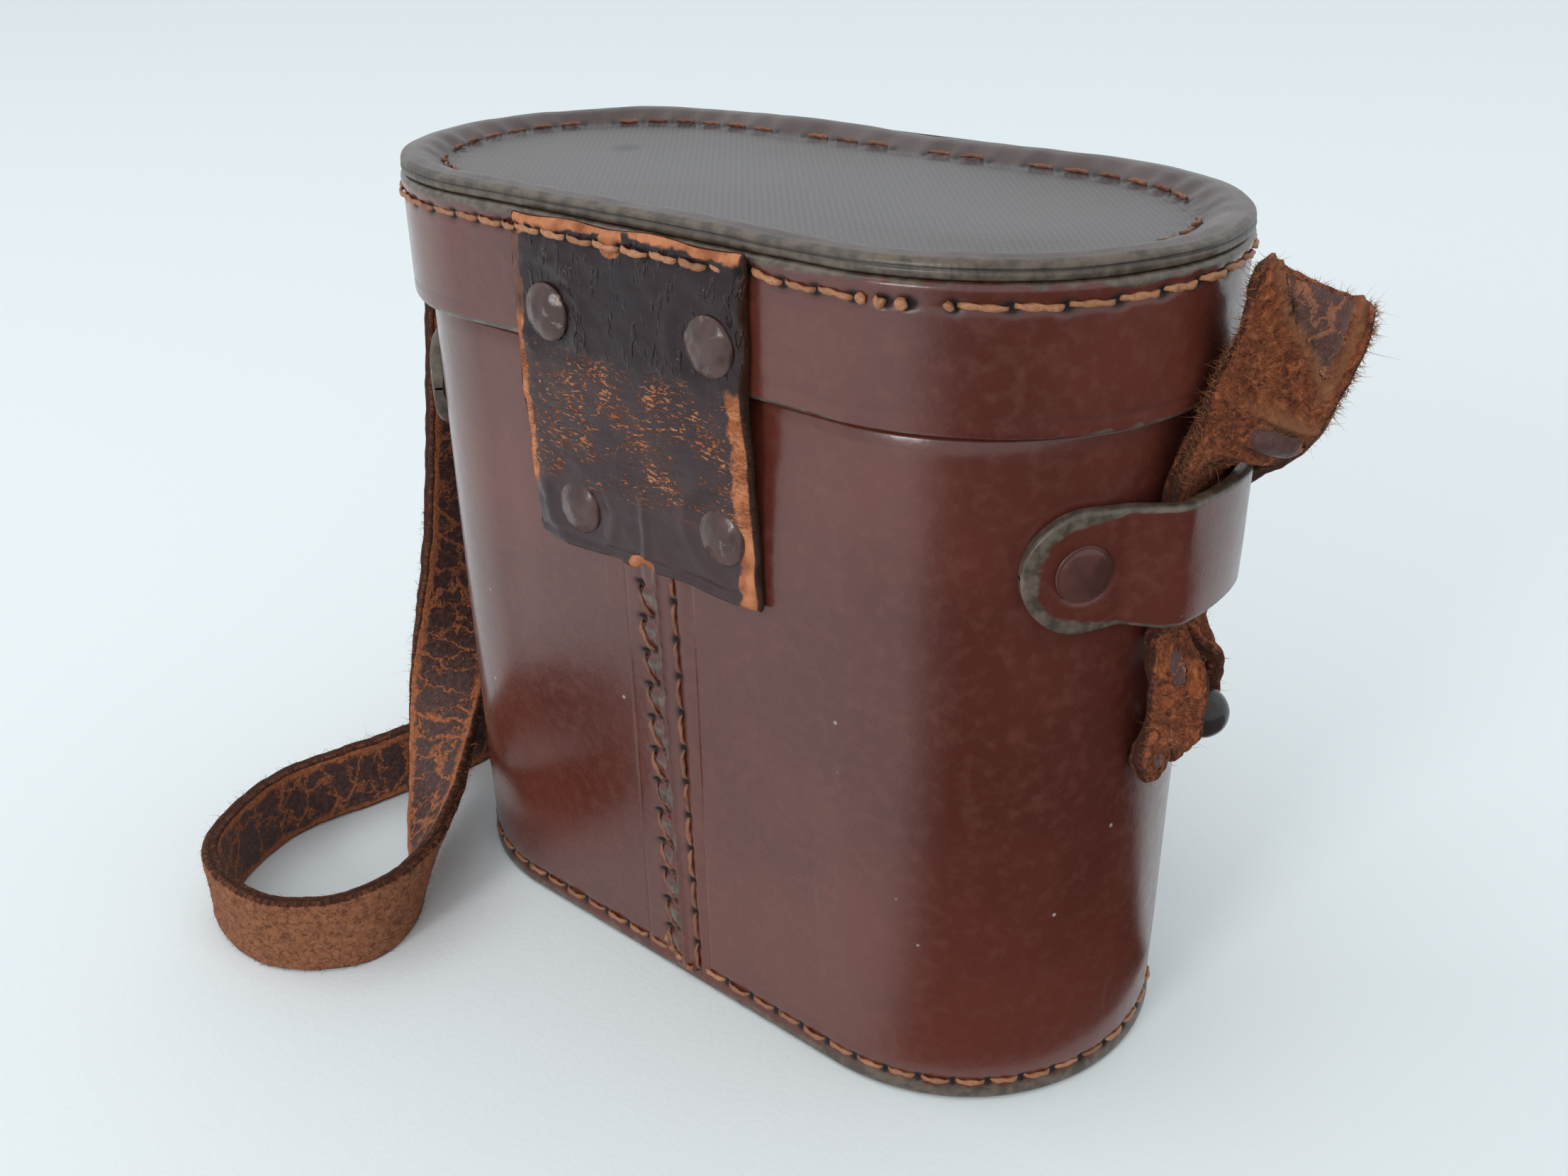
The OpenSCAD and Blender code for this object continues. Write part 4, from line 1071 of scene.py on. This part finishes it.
def skirtProfile():
    # Section of the lid's band: rounded lower edge, faint crease, stitch channel, rounded top edge, inside
    # face.
    low, high = skirtLow.z, skirtHigh.z
    inner, edge, rowFrom = skirt["inner"], skirt["edge"], skirt["rowFrom"]
    q = np.linspace(0, np.pi / 2, 6)
    foot = np.stack([skirtStep - edge * (1 - np.sin(q)), low + edge * (1 - np.cos(q))], -1)
    face = np.stack([np.full(26, skirtStep), np.linspace(low + edge, rowFrom, 27)[1:]], -1)
    row = np.stack([np.full(12, skirtStep), np.linspace(rowFrom, high - edge, 13)[1:]], -1)
    top = np.stack([skirtStep - edge * (1 - np.cos(q)), high - edge * (1 - np.sin(q))], -1)[1:]
    inside = np.stack([np.full(5, inner), np.linspace(high - 0.0002, low + 0.0001, 5)], -1)
    return np.concatenate([foot, face, row, top, inside])


def buildSkirt():
    # The section swept round the outline; lower edge a little wavy, holes dimpled, slow bulges as on the
    # body.
    s, off, z, points = carriedRound(skirtProfile(), skirt["columns"])
    outer = off > skirtStep - 0.0012
    rowZ = lidRowHeight(s)[None]
    fromHole = nearest(s, np.append(lidHoles, skirt["spareHoles"]))[None]
    hole = bell(fromHole / 0.0009, (z - rowZ) / 0.00075) * outer
    channel = bell((z - rowZ) / 0.0007) * outer
    crease = bell((z - skirt["crease"] - 0.0004 * np.sin(s[None] * 60)) / 0.00025) * outer
    crease = crease * (0.6 + 0.4 * np.sin(s[None] * 90))
    puff = skirt["puff"] * bell((z - 0.1312) / 0.0012)
    ripple = 0.00013 * waves(points * [1, 1, 0.5], 0.045, 41)
    ripple = ripple + 0.00004 * waves(points * [1, 1, 0.3], 0.012, 42)
    push = (ripple + puff - 0.00045 * hole - 0.00018 * channel - 0.00010 * crease) * outer
    drop = -0.0003 * waves(onWall(s, 0 * s, 0 * s), 0.06, 43)[None]
    drop = drop * (1 - rise(z, skirtLow.z, skirtLow.z + 0.004))
    points = onWall(s[None, :], z + drop, off + push)
    wearLow = 1.0 - (z - skirtLow.z) / 0.0021
    wearHigh = 1.05 - (skirtHigh.z - z) / 0.0027
    amount = 0.75 + 0.25 * np.sin(s[None] * 70 + 1) * np.sin(s[None] * 31)
    wear = np.clip(np.maximum(wearLow, wearHigh), 0, 1) * amount * outer + 0.8 * (~outer)
    # Painted shade through the "hole" mark: near-black in the stitch holes, a quarter of that along the
    # crease.
    return skin("lidSkirt", points, bodySkin, "lid", ring=True,
                marks={"wear": np.clip(wear, 0, 1), "hole": np.clip(hole * 2.2 + 0.25 * crease, 0, 1)})


lidSkirt = buildSkirt()
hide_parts("lid_skirt")


# ---- lid top
lidTop = {"panel": 0.1325, "thick": 0.0028, "dipAt": 0.0025, "dip": 0.00055, "swell": 0.00025,
          "spot": (-0.0408, 0.0056), "spotLean": -20, "columns": 640}


def topProfile():
    # Section of the lid top: flat panel, stitched foot, sloping border, round crest, two-layer edge,
    # underside.
    panel, crest, under = lidTop["panel"], topHigh.z, lidTop["panel"] - lidTop["thick"]
    out = topHigh.y - endRadius
    flat = np.stack([np.linspace(-endRadius, -0.0072, 26), np.full(26, panel)], -1)
    t = np.linspace(0, 1, 15)[1:]
    slope = np.stack([-0.0072 + 0.0062 * t, panel + (crest - panel - 0.0001) * rise(t, 0.12, 1.0)], -1)
    ridge = np.array([[-0.0004, crest], [0.0003, crest + 0.00002], [0.0010, crest - 0.00005]])
    q = np.linspace(0, np.pi / 2, 5)[1:]
    shoulder = np.stack([0.0010 + (out - 0.0010) * np.sin(q), crest - 0.00005 - 0.0010 * (1 - np.cos(q))],
                        -1)
    layers = np.array([[out, 0.13385], [out - 0.00025, 0.1337], [out - 0.00002, 0.13355],
                       [out + 0.0001, 0.1331],
                       [out, 0.1326], [out - 0.0004, 0.13225], [0.0005, 0.1322]])
    below = np.array([[-0.0001, 0.1322], [-0.0032, under], [-0.006, under], [-0.02, under],
                      [-endRadius, under]])
    return np.concatenate([flat, slope, ridge, shoulder, layers, below])


def buildLidTop():
    # The section swept round the outline. Each inner stitch pulls the foot of the border down, and the
    # crest is uneven, with a dip on the closure side.
    s, off, z, points = carriedRound(topProfile(), lidTop["columns"])
    upper = z > lidTop["panel"] - 0.0001
    onBand = bell((off + 0.0040) / 0.0024) * upper
    fromMiddle = nearest(s, (innerHoles[:-1] + innerHoles[1:]) / 2)[None]
    between = 0.5 + 0.5 * np.cos(fromMiddle / innerRow["pitch"] * 2 * np.pi)
    raised = rise(off, -0.008, -0.003) * upper
    middleFront = perimeter / 2
    dip = lidTop["dip"] * bell((s[None] - middleFront + lidTop["dipAt"]) / 0.011)
    swell = lidTop["swell"] * bell((s[None] - middleFront - 0.006) / 0.014)
    uneven = 0.00016 * waves(points, 0.030, 51) + 0.00007 * waves(points, 0.011, 52)
    panelBow = 0.00030 * waves(points, 0.060, 53) * rise(-off, 0.007, 0.020) * upper
    lower = -0.00042 * between * onBand
    z2 = z + lower + raised * (uneven - dip + swell - 0.0002 * (off > 0)) * (off < 0.0022) + panelBow
    holesAndShade = bell(nearest(s, innerHoles)[None] / 0.0008, (off - innerRow["off"]) / 0.0006) * upper
    z2 = np.minimum(z2 - 0.0003 * holesAndShade, topHigh.z + 0.0002)
    edgeWave = 0.00014 * waves(points, 0.018, 54) * (off > 0.0015)
    points = onWall(s[None, :], z2, off + edgeWave)
    wear = np.maximum(rise(off, 0.0006, 0.0017), (~upper & (off > -0.001)) * 1.0)
    x, y = points[..., 0], points[..., 1]
    cx, cy = lidTop["spot"]
    lean = math.radians(lidTop["spotLean"])
    du = (x - cx) * math.cos(lean) - (y - cy) * math.sin(lean)
    dv = (x - cx) * math.sin(lean) + (y - cy) * math.cos(lean)
    spot = bell(du / 0.0026, dv / 0.0030, sharp=2) * upper * 0.8
    band = rise(off, -0.0056, -0.0040) * (1 - rise(off, 0.0009, 0.0016)) * upper
    # Painted shade: the stitch holes and the grooves between the edge's layers are darkened through the
    # "hole" mark.
    groove = bell((z - 0.1337) / 0.0002) * (off > 0.001)
    groove = groove + (np.abs(z - 0.1322) < 0.0001) * (off > -0.001)
    return skin("lidTop", points, topSkin, "lid",
                marks={"wear": wear, "spot": spot, "band": band,
                       "hole": np.clip(holesAndShade * 1.2 + groove * 0.75, 0, 1)})


lidTopPiece = buildLidTop()
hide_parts("lid_top")
print("lid drawn")


# ---- hinge flap
flap = {"topLeft": -0.0200, "topRight": 0.0249, "lowLeft": -0.0233, "lowRight": 0.0235, "top": 0.1320,
        "low": 0.0796, "thick": 0.0022, "bend": 0.009,
        "rivets": ((-0.0134, 0.1184), (0.0188, 0.1193), (-0.0126, 0.0869), (0.0176, 0.0903)),
        "nick": 0.0014, "ridge": 0.00035, "hem": 0.00022,
        "rubbed": ((0.0008, 0.1306, 0.0026, 0.0024, 1), (0.0006, 0.0806, 0.0030, 0.0018, 1),
                   (-0.0185, 0.1310, 0.0020, 0.0022, 0.9))}


def flapBack(z):
    # Distance of the flap's inner face from the body's wall: on the lid's band above, on the body below.
    return 0.0001 + (skirtStep + 0.0001) * rise(z, 0.0840, 0.1150)


def buildFlap():
    # Rounded flat section carried from the top edge down, with wavy sides and pressed in round the rivets.
    far = np.concatenate([np.linspace(0, 0.0012, 5),
                          np.linspace(0.0016, flap["top"] - flap["low"] - 0.0012, 118),
                          np.linspace(flap["top"] - flap["low"] - 0.0009, flap["top"] - flap["low"], 5)])
    total = flap["top"] - flap["low"]
    z = flap["top"] - far
    share = far / total
    line = np.stack([0 * z, z, 0 * z], -1)
    left = flap["topLeft"] + (flap["lowLeft"] - flap["topLeft"]) * rise(share, -0.1, 1.1)
    left = left + 0.00028 * waves(line, 0.012, 61)
    right = flap["topRight"] + (flap["lowRight"] - flap["topRight"]) * share
    right = right + 0.00022 * waves(line, 0.010, 62)
    thick = flap["thick"] * endTaper(far + 0.0001, 0.0020) * endTaper(total - far + 0.0001, 0.0009)
    inner = flapBack(z)
    centre = np.stack([(left + right) / 2, -endRadius - inner - flap["thick"] / 2, z], -1)
    slope = np.gradient(inner, z)
    face = unit(np.stack([0 * z, -np.ones_like(z), slope], -1))
    wide = np.tile([1.0, 0.0, 0.0], (len(z), 1))
    profile = slabProfile(0.045, flap["thick"], 0.0007, 104, 30, 4)
    points = sweep(centre, wide, face, right - left, thick, profile)
    front = profile[None, :, 1] > 0.3
    x, zz = points[..., 0], points[..., 2]
    # Wavy top and bottom edges, the bottom one with a nick.
    endShift = 0.00035 * waves(np.stack([x, 0 * x, 0 * x], -1), 0.016, 63)
    nick = flap["nick"] * bell((x - 0.0012) / 0.0016)
    zz = zz + endShift * (1 - rise(far, 0, 0.006))[:, None]
    zz = zz + (nick + endShift) * rise(far, total - 0.004, total)[:, None]
    points[..., 2] = zz
    press = np.zeros_like(x)
    for rx, rz in flap["rivets"]:
        d = np.hypot(x - rx, zz - rz)
        press = press + 0.00035 * bell(d / 0.0066, sharp=2) - 0.00022 * bell((d - 0.0075) / 0.0012)
    rowX = lidHoles - perimeter
    holeX = np.abs(x[..., None] - rowX[(rowX > -0.022) & (rowX < 0.027)]).min(-1)
    # Stitch holes: dented a little, and painted near-black as shade through the "hole" mark.
    hole = bell(holeX / 0.0009, (zz - lidRow["flapHeight"]) / 0.0007) * front
    channel = bell((zz - lidRow["flapHeight"]) / 0.0009)
    ridge = bell((x - 0.0018) / 0.0007) * (1 - rise(zz, 0.090, 0.098))
    sag = 0.00025 * waves(points, 0.022, 64) + 0.00008 * waves(points * [1, 1, 2.2], 0.006, 65)
    crackle = 0.00010 * waves(points * [0.8, 1, 3.5], 0.0042, 66)
    crackle = crackle * rise(zz, 0.088, 0.094) * (1 - rise(zz, 0.110, 0.114))
    hem = flap["hem"] * bell((zz - flap["low"] - 0.0021) / 0.0005)
    press = press + hem
    roll = 0.00025 * rise(np.abs(profile[None, :, 0]), 0.42, 0.49)
    push = -press - 0.0003 * hole - 0.00025 * channel + flap["ridge"] * ridge + sag + crackle - roll
    points = points + face[:, None] * (push * front)[..., None]
    rubbed = sum(amount * bell((x - u) / wideSpot, (zz - v) / tallSpot, sharp=2)
                 for u, v, wideSpot, tallSpot, amount in flap["rubbed"])
    marks = {"fromLeft": (x - left[:, None]) * 1000, "fromRight": (right[:, None] - x) * 1000,
             "fromTop": (flap["top"] - zz) * 1000, "fromLow": (zz - flap["low"]) * 1000,
             "rubbed": rubbed * front, "hole": np.clip(hole * 2.2, 0, 1),
             "cutEdge": (np.abs(profile[None, :, 0]) > 0.492) * np.ones_like(x)}
    return skin("hingeFlap", points, flapSkin, marks=marks)


hingeFlap = buildFlap()
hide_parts("hinge_flap_upper", "hinge_flap_lower")
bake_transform(hingeFlap)
print("flap bent")


# ---- turned fittings
def turned(name, places, profile, material, body, seed, dents=0.00006):
    # Profile (radius, height) turned about the outward axis of each place, with small dents. A place is a
    # point and an axis.
    turn = np.arange(40) * 2 * np.pi / 40
    grids = []
    for k, (place, axis) in enumerate(places):
        place, axis = np.array(place), unit(np.array(axis, float))
        one = unit(np.cross(axis, [0.3, 0.2, 1.0]))
        two = np.cross(axis, one)
        ring = one[None] * np.cos(turn)[:, None] + two[None] * np.sin(turn)[:, None]
        grid = place + profile[:, None, 0, None] * ring[None] + profile[:, None, 1, None] * axis
        bump = dents * waves(grid, 0.0025, seed + k)
        grids.append(grid + bump[..., None] * axis * (profile[:, None, 1, None] > 0))
    return skin(name, np.array(grids), material, body)


rivet = {"radius": 0.0043, "height": 0.0017, "lip": 0.0004, "depth": 0.0042, "shank": 0.0015,
         "sunk": 0.00035}


def domeProfile():
    # Rivet: flattened dome with a rolled lip, then the underside and the shank going in.
    radius, height, lip = rivet["radius"], rivet["height"], rivet["lip"]
    depth, shank = rivet["depth"], rivet["shank"]
    t = np.linspace(0, 1, 15)
    dome = np.stack([radius * t, lip + (height - lip) * (1 - t ** 2.2)], -1)
    under = np.array([[radius + 0.00005, lip * 0.5], [radius, 0.0], [radius - 0.0005, -0.0003],
                      [shank, -0.0003],
                      [shank, -depth], [0.0, -depth]])
    return np.concatenate([dome, under])


def flapRivets(name, which, body, node):
    # Domed rivets on the outer face of the flap.
    places = [((x, -endRadius - float(flapBack(np.array(z))) - flap["thick"] + rivet["sunk"], z),
               (0, -1, 0)) for x, z in which]
    piece = turned(name, places, domeProfile(), rivetMetal, body, 71,
                   dents=0.00010)
    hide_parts(node)


flapRivets("hingeRivetsUpper", flap["rivets"][:2], "lid", "hinge_rivets_upper")
flapRivets("hingeRivetsLower", flap["rivets"][2:], "case_body", "hinge_rivets_lower")

loop = {"height": 0.093, "tall": 0.018, "thick": 0.0022, "lift": 0.0045, "flatTo": 12.0, "liftTo": 24.0,
        "rivetAngle": 32.5, "tip": 0.0272, "tipRound": 0.0088}


def buildLoop(name, sign, node):
    # Band round one end of the case: on the wall at both tips, raised over the strap in the middle; round
    # tips.
    a = np.concatenate([-loop["tip"] + loop["tipRound"] * (1 - np.cos(np.linspace(0, np.pi / 2, 22))),
                        np.linspace(-loop["tip"] + loop["tipRound"], loop["tip"] - loop["tipRound"],
                                    90)[1:-1],
                        loop["tip"] - loop["tipRound"] * (1 - np.cos(np.linspace(np.pi / 2, 0, 22)))])
    angle = a / endRadius
    degrees = np.degrees(np.abs(angle))
    lift = loop["lift"] * (1 - rise(degrees, loop["flatTo"], loop["liftTo"]))
    radius = endRadius + 0.00002 + lift + loop["thick"] / 2
    centre = np.stack([sign * (halfFlat + radius * np.cos(angle)), radius * np.sin(angle),
                       np.full(len(a), loop["height"])], -1)
    along = unit(np.gradient(centre, axis=0))
    wide = np.tile([0.0, 0.0, 1.0], (len(a), 1))
    face = np.cross(along, wide)
    face = face * np.sign((face[:, :1] * sign))
    fromTip = loop["tip"] - np.abs(a)
    roundTip = endTaper(fromTip, loop["tipRound"])
    dipTop = 0.0004 * bell((np.abs(a) - 0.0135) / 0.004)
    tall = np.maximum((loop["tall"] - 2 * dipTop) * roundTip, 0.0004)
    profile = slabProfile(loop["tall"], loop["thick"], 0.0007, 44, 16, 4)
    thick = loop["thick"] * endTaper(fromTip + 0.00015, 0.0008)
    points = sweep(centre, wide, face, tall, thick, profile)
    front = profile[None, :, 1] > 0.3
    press = np.zeros(points.shape[:2])
    up = points[..., 2] - loop["height"]
    for where in (-1, 1):
        d = np.hypot(a[:, None] - where * math.radians(loop["rivetAngle"]) * endRadius, up)
        press = press + 0.00050 * bell(d / 0.0045, sharp=4) + 0.00010 * bell((d - 0.0056) / 0.0008)
    wavy = 0.00016 * waves(points, 0.020, 81)
    points = points + face[:, None] * ((wavy - press) * front)[..., None]
    fromSide = tall[:, None] * (0.5 - np.abs(profile[None, :, 0]))
    fromEnd = np.minimum(fromTip[:, None]
                         - (loop["tipRound"] - np.sqrt(np.clip(loop["tipRound"] ** 2 - up ** 2 * 0.8, 0,
                                                               1))), 1)
    edgeWide = 0.0007 + 0.0014 * (1 - rise(fromTip[:, None], 0.006, 0.015))
    away = np.minimum(fromSide, np.maximum(fromEnd, 0))
    wear = np.clip(1.2 - away / edgeWide * 0.62, 0, 1)
    wear = np.where(profile[None, :, 1] < 0.3, 1.0, wear)
    piece = skin(name, points, bodySkin, "case_body",
                 marks={"wear": wear, "hole": np.zeros_like(wear)})
    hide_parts(node)


buildLoop("loopRight", 1, "loop_right")
buildLoop("loopLeft", -1, "loop_left")


def endPlace(degrees, sign, off, z):
    # A place and outward axis on a round end, at an angle from the X axis.
    angle = math.radians(degrees)
    axis = (sign * math.cos(angle), math.sin(angle), 0)
    return ((sign * halfFlat + axis[0] * (endRadius + off), axis[1] * (endRadius + off), z), axis)


loopHead = np.array([[0.0, 0.0007], [0.0016, 0.00068], [0.0030, 0.00058], [0.0036, 0.00045],
                     [0.00385, 0.00028],
                     [0.00395, 0.00036], [0.00408, 0.00030], [0.00415, 0.0], [0.0036, -0.0004],
                     [0.0015, -0.0004],
                     [0.0015, -0.0036], [0.0, -0.0036]])
for sign, name in ((1, "Right"), (-1, "Left")):
    heads = [endPlace(side * loop["rivetAngle"], sign, loop["thick"] - 0.0004, loop["height"])
             for side in (-1, 1)]
    piece = turned("loopRivets" + name, heads, loopHead,
                   paintedMetal("loopRivet" + name, tones["loopRivet"],
                   tones["loopRivetBare"], 0.68), "case_body", 75)
    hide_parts("loop_rivets_" + name.lower())


stud = {"ball": 0.00375, "neck": 0.0014, "middle": 0.0067}


def studProfile():
    # Foot plate, neck and ball of a button stud.
    ball = stud["ball"]
    t = np.linspace(math.asin(stud["neck"] / ball), np.pi, 22)[::-1]
    sphere = np.stack([ball * np.sin(t), stud["middle"] + ball * np.cos(t) * -1], -1)[::-1]
    neck = np.array([[stud["neck"], 0.0020], [0.0016, 0.0009], [0.0031, 0.0006], [0.0032, 0.0003],
                     [0.0032, 0.0],
                     [0.0015, 0.0], [0.0015, -0.0022], [0.0, -0.0022]])
    return np.concatenate([sphere[::-1], neck])


def middleHeight(node):
    # Half way between the lowest and highest point of a CAD node.
    low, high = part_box(node)
    return (low.z + high.z) / 2


frontZ, sideZ = middleHeight("stud_front"), middleHeight("stud_right")
for node, place in (("stud_right", endPlace(0, 1, 0, sideZ)), ("stud_left", endPlace(0, -1, 0, sideZ)),
                    ("stud_front", ((0, endRadius, frontZ), (0, 1, 0)))):
    words = node.split("_")
    piece = turned(words[0] + words[1].title(), [place], studProfile(), studMetal,
                   "case_body", 78, 0.00003)
    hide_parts(node)
print("fittings turned")


# ---- closure tab
tab = {"wide": 0.018, "thick": 0.0022, "free": 0.038, "lean": 17.0, "tip": 0.009, "hole": 0.0285,
       "holeWide": 0.0045,
       "slit": (0.001, 0.0085, 0.009), "slitRise": 0.0042, "foldUp": 0.003, "foldDown": 0.005}


def buildTab():
    # Rounded flat section: down the lid's front, then leaning outward past the fold, ending in a half
    # round.
    root = tabRootHigh.z - tabLine.z
    total = root + tab["free"]
    far = np.concatenate([np.linspace(0, total - tab["tip"], 90),
                          total - tab["tip"] * np.cos(np.linspace(0, np.pi / 2, 26))[1:]])
    bend = np.radians(tab["lean"]) * rise(far - root, -0.003, 0.004)
    step = np.diff(far, prepend=0)
    y = np.cumsum(step * np.sin(bend)) + tabRootHigh.y - tab["thick"] / 2
    z = tabRootHigh.z - np.cumsum(step * np.cos(bend))
    centre = np.stack([0 * y, y, z], -1)
    face = np.stack([0 * y, np.cos(bend), np.sin(bend)], -1)
    wide = np.tile([1.0, 0.0, 0.0], (len(y), 1))
    half = endTaper(total - far, tab["tip"])
    width = np.maximum(tab["wide"] * half, 0.0003) * (1 + 0.008 * waves(centre, 0.01, 91))
    thick = tab["thick"] * endTaper(far + 0.0001, 0.0008) * endTaper(total - far + 0.0001, 0.0007)
    profile = slabProfile(tab["wide"], tab["thick"], 0.0006, 40, 16, 4)
    points = sweep(centre, wide, face, width, thick, profile)
    front = profile[None, :, 1] > 0.3
    x = points[..., 0]
    push = ((0.00015 * waves(points, 0.02, 92) - 0.0002
             * bell((points[..., 2] - lidRow["height"]) / 0.0008)) * front)
    points = points + face[:, None] * push[..., None]
    fromSide = width[:, None] / 2 - np.abs(x)
    marks = {"fromLeft": fromSide * 1000 + 0.4, "fromRight": fromSide * 1000 + 0.9,
             "fromTop": np.broadcast_to(far[:, None] * 1000, x.shape),
             "fromLow": np.broadcast_to((total - far)[:, None] * 1000, x.shape),
             "rubbed": np.zeros_like(x), "hole": np.zeros_like(x),
             "cutEdge": np.zeros_like(x)}
    piece = skin("closureTab", points, flapSkin, marks=marks)
    at = int(np.searchsorted(far, root + tab["hole"]))
    return cutKeyhole(piece, centre[at], face[at])


def cutKeyhole(piece, place, axis):
    # Round hole for the stud's ball with a short slit above it, cut through the tab.
    work = bmesh.new()
    bmesh.ops.create_cone(work, cap_ends=True, segments=32, radius1=tab["holeWide"] / 2,
                          radius2=tab["holeWide"] / 2, depth=0.01)
    turn = Vector(axis).to_track_quat("Z", "Y").to_matrix().to_4x4()
    slit = bmesh.ops.create_cube(work, size=1.0)["verts"]
    bmesh.ops.scale(work, verts=slit, vec=tab["slit"])
    upward = turn.to_3x3().inverted() @ Vector((0, 0, 1))
    bmesh.ops.translate(work, verts=slit, vec=(0, math.copysign(tab["slitRise"], upward.y), 0))
    bmesh.ops.transform(work, matrix=Matrix.Translation(place) @ turn, verts=work.verts)
    mesh = bpy.data.meshes.new("keyhole")
    work.to_mesh(mesh)
    work.free()
    cutter = bpy.data.objects.new("keyhole", mesh)
    bpy.context.scene.collection.objects.link(cutter)
    cut = piece.modifiers.new("keyhole", "BOOLEAN")
    cut.object, cut.operation, cut.solver, cut.use_self = cutter, "DIFFERENCE", "EXACT", True
    bpy.context.view_layer.update()
    made = bpy.data.meshes.new_from_object(piece.evaluated_get(bpy.context.evaluated_depsgraph_get()))
    piece.modifiers.clear()
    piece.data = made
    bpy.data.objects.remove(cutter)
    return piece


closureTab = buildTab()
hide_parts("closure_tab_root", "closure_tab")
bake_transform(closureTab)
rivetZ = middleHeight("closure_rivet")
closureRivet = turned("closureRivet", [((0, tabRootHigh.y - 0.0001, rivetZ), (0, 1, 0))],
                      domeProfile(), rivetMetal, "lid", 73)
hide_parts("closure_rivet")
print("closure tab cut")

# ---- CAD pieces that stay
stay = {"base_plate": plainSkin, "seam_strip": plainSkin, "base_lining": suede, "body_lining": suede,
        "lid_lining": suede,
        "hinge_washers_lower": brass, "hinge_washers_upper": brass, "loop_washers": brass,
        "stud_washers": brass,
        "closure_washer": brass}
for node, material in stay.items():
    mesh = frame["nodes"][node].data
    mesh.materials.clear()
    mesh.materials.append(material)


# ---- floor and light
room = {"floor": 6.0, "sky": 0.90, "key": 2.6, "keyPlace": (-0.9, -0.6, 1.5), "fill": 1.2,
        "fillPlace": (0.9, 0.9, 1.3), "glint": 4.0,
        "glintPlace": (0.05, -1.15, 0.52)}


def sheet(name, grid, material):
    # A quad between every four neighbouring points of an open grid.
    rows, cols = grid.shape[:2]
    corner = (np.arange(rows - 1)[:, None] * cols + np.arange(cols - 1)).ravel()
    faces = np.stack([corner, corner + 1, corner + cols + 1, corner + cols], -1)
    mesh = bpy.data.meshes.new(name)
    mesh.from_pydata(grid.reshape(-1, 3).tolist(), [], faces.tolist())
    mesh.materials.append(material)
    piece = bpy.data.objects.new(name, mesh)
    bpy.context.scene.collection.objects.link(piece)
    return piece


def buildFloor():
    # A large flat sheet, white with a hint of blue.
    shop = Shop("floorWhite")
    grain = shop.noise(shop.place(), 900, 3)
    material = shop.finish(tones["floor"], 0.7, shop.bump(grain, 0.15, 0.0004), gloss=0.2)
    side = np.linspace(-room["floor"], room["floor"], 9)
    x, y = np.meshgrid(side, side)
    sheet("floor", np.stack([x, y, 0 * x - 0.00002], -1), material)


def softLight(name, place, size, power, tint=(1, 1, 1)):
    # A square area light aimed at the middle of the case.
    lamp = bpy.data.lights.new(name, "AREA")
    lamp.shape, lamp.size, lamp.energy, lamp.color = "SQUARE", size, power, tint
    item = bpy.data.objects.new(name, lamp)
    item.location = place
    item.rotation_euler = (Vector((0, 0, 0.06)) - Vector(place)).to_track_quat("-Z", "Y").to_euler()
    bpy.context.scene.collection.objects.link(item)


cardShape = {"radii": (0.006, 0.25, 0.9), "azimuths": (-94, 46), "fadeIn": (-94, -58), "fadeOut": (30, 45),
             "height": 0.0004, "columns": 34}


def darkCard():
    # A dark fan on the floor in front of the round end, seen only in reflections: a painted dark reflection,
    # standing in for shade in front of the case. Its points are centre + radius * (cos, sin) of the azimuth.
    shop = Shop("darkCard")
    material = shop.finish(tones["card"], 0.9, gloss=0.0, alpha=shop.step(shop.mark("fade"), 0.0, 1.0))
    near, middle, outer = cardShape["radii"]
    angles = np.linspace(*cardShape["azimuths"], cardShape["columns"])
    radius, azimuth = np.meshgrid([endRadius + near, middle, outer], np.radians(angles))
    grid = np.stack([halfFlat + radius * np.cos(azimuth), radius * np.sin(azimuth),
                     0 * radius + cardShape["height"]], -1)
    piece = sheet("darkCard", grid, material)
    turn = np.degrees(azimuth)
    shown = rise(turn, *cardShape["fadeIn"]) * (1 - rise(turn, *cardShape["fadeOut"]))
    fade = piece.data.attributes.new("fade", "FLOAT", "POINT")
    fade.data.foreach_set("value", shown.astype(np.float32).ravel())
    piece.visible_camera = piece.visible_diffuse = piece.visible_shadow = piece.visible_transmission = False


buildFloor()
darkCard()
world = bpy.data.worlds.new("sky")
world.use_nodes = True
world.node_tree.nodes["Background"].inputs[0].default_value = (*tones["sky"], 1)
world.node_tree.nodes["Background"].inputs[1].default_value = room["sky"]
bpy.context.scene.world = world
softLight("keyLight", room["keyPlace"], 1.0, room["key"])
softLight("fillLight", room["fillPlace"], 1.2, room["fill"])
softLight("glintLight", room["glintPlace"], 0.28, room["glint"])
bpy.context.scene.view_settings.view_transform = "Standard"
print("room lit")
